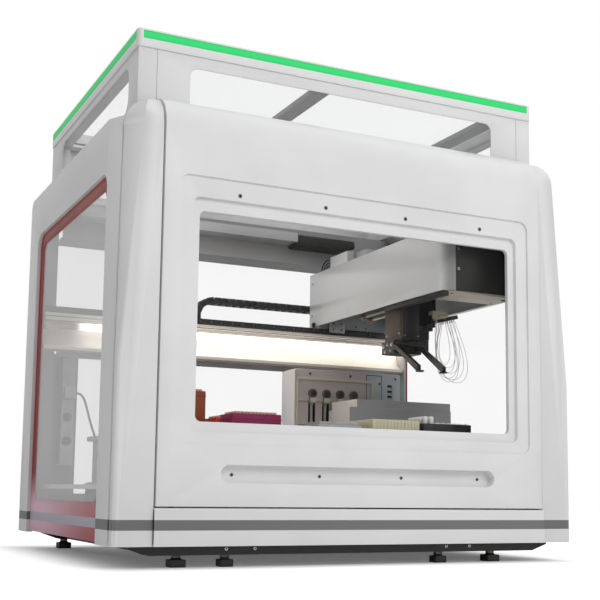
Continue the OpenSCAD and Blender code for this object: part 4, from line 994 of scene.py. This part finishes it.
def finger_tip(side, name, body):
    """Pad block and grip pins at a finger's end."""
    shape = Shape(BRASS, JET, CHROME)
    x, y, z = GRIPPER_X + side * 36, -183, 444.6
    shape.box((x - 5, y - 7, z - 2), (x + 5, y + 7, z + 1.8), 0.8, 0)
    shape.rod((x, y, z), (x - side * 9.5, y, z), 1.9, 2, 16, bevel=0.4)
    shape.rod((x - side * 8.6, y, z), (x - side * 10.5, y, z), 2.6, 1, 16, bevel=0.4)
    shape.done(name, body, "gripper_black")


bridge_parts()
cover_bracket()
carriage_details()
pod_pipes()
head_parts()
manifold()
tubing()
gripper_parts()
finger_tip(-1, "left_pad", "finger_l")
finger_tip(1, "right_pad", "finger_r")


# ---------------------------------------------------------------- roof trunking and strip


def trunking():
    """Light sheet trunking under the roof with the black duct beside it."""
    shape = Shape(DUCT, BLACK)
    shape.box((-480, 260, 842), (160, 324.7, 845), 0.8, 0)
    shape.box((-480, 260, 844), (160, 263, 867), 0.8, 0)
    shape.box((158, 264, 832), (318, 324.7, 865), 7.0, 1, segments=4)
    shape.box((300, 268, 842), (346, 324.7, 865), 5.0, 1, segments=3)
    shape.done("roof_trunking", "frame", "duct_grey", "ceiling_duct")


def strip_parts():
    """Socket inserts and the switch knob of the power strip."""
    shape = Shape(HOLE_SHADE_AND_BLACK, GREY_POLYMER, DARK_SCREW)
    for z in (272, 334):
        shape.rod((-440, 381.2, z), (-440, 380.2, z), 11.5, 0, 32)
        for dx in (-4.5, 4.5):
            shape.rod((-440 + dx, 380.6, z), (-440 + dx, 379.6, z), 1.9, 2, 12)
    shape.rod((-457.5, 389, 470), (-461.5, 389, 470), 6.0, 1, 24, bevel=1.0)
    shape.done("strip_inserts", "frame", "strip_grey")


def canopy_seams():
    """Vertical joints in the canopy's front sheet."""
    shape = Shape(FRAME)
    for x in (-454.5, 454.5):
        shape.box((x - 0.5, -343.2, 940), (x + 0.5, -342.8, 1055.5), 0, 0)
    shape.done("canopy_seams", "frame", "panel_white")


def shield_post():
    """Grey post inside the right shield's rear border."""
    shape = Shape(DUCT)
    shape.box((525, 292, 112), (530.8, 330, 786), 1.5, 0)
    shape.done("shield_post", "frame", "duct_grey")


def beam_trim():
    """Ivory and brown lines above and below the work light; the brown line below it is painted shadow
    under the beam's bottom edge.
    """
    shape = Shape(IVORY, TRIM_AND_SHADOW_LINE, DUCT)
    # The brown line from 496.5 to 500 is painted shadow: the beam's bottom edge in shade.
    for z0, z1, slot in ((586, 594, 0), (582.5, 585.5, 1), (574, 582, 0), (571.5, 573.5, 1),
                         (496.5, 500, 1)):
        shape.box((-523, 298.7, z0), (523, 300.4, z1), 0.5, slot)
    shape.box((-480, 352.5, 486), (482, 356, 503), 0.8, 2)
    shape.done("beam_trim", "frame", "beam_ivory")


def chain_links():
    """Hollow links of the cable chain, round the bend and along both runs."""
    shape = Shape(CHAIN, JET)
    centre_x, centre_z, radius, pitch = -46, 627, 47, 22
    bend = round(math.pi * radius / pitch)
    places = [(centre_x + pitch * (i + 0.5), centre_z - radius, 0) for i in range(15)]
    for i in range(bend):
        a = math.pi * (i + 0.5) / bend
        x, z = centre_x - radius * math.sin(a), centre_z - radius * math.cos(a)
        places.append((x, z, math.degrees(a)))
    places += [(centre_x + pitch * (i + 0.5), centre_z + radius, 180) for i in range(15)]
    for x, z, turn in places:
        for y in (363.2, 398.8):
            tilted(shape, (x, y, z), (21.2, 3.4, 17.6), turn, 1.5, 0)
            tilted(shape, (x, y + (1.4 if y > 380 else -1.4), z), (9, 1.4, 9), turn, 0.6, 1)
        tilted(shape, (x, 381, z), (12, 33, 15.5), turn, 1.0, 0)
        tilted(shape, (x, 381, z), (6.5, 36, 17.8), turn, 0.6, 1)
    shape.done("chain_links", "frame", "chain_black", "cable_chain")


trunking()
strip_parts()
canopy_seams()
shield_post()
beam_trim()
chain_links()
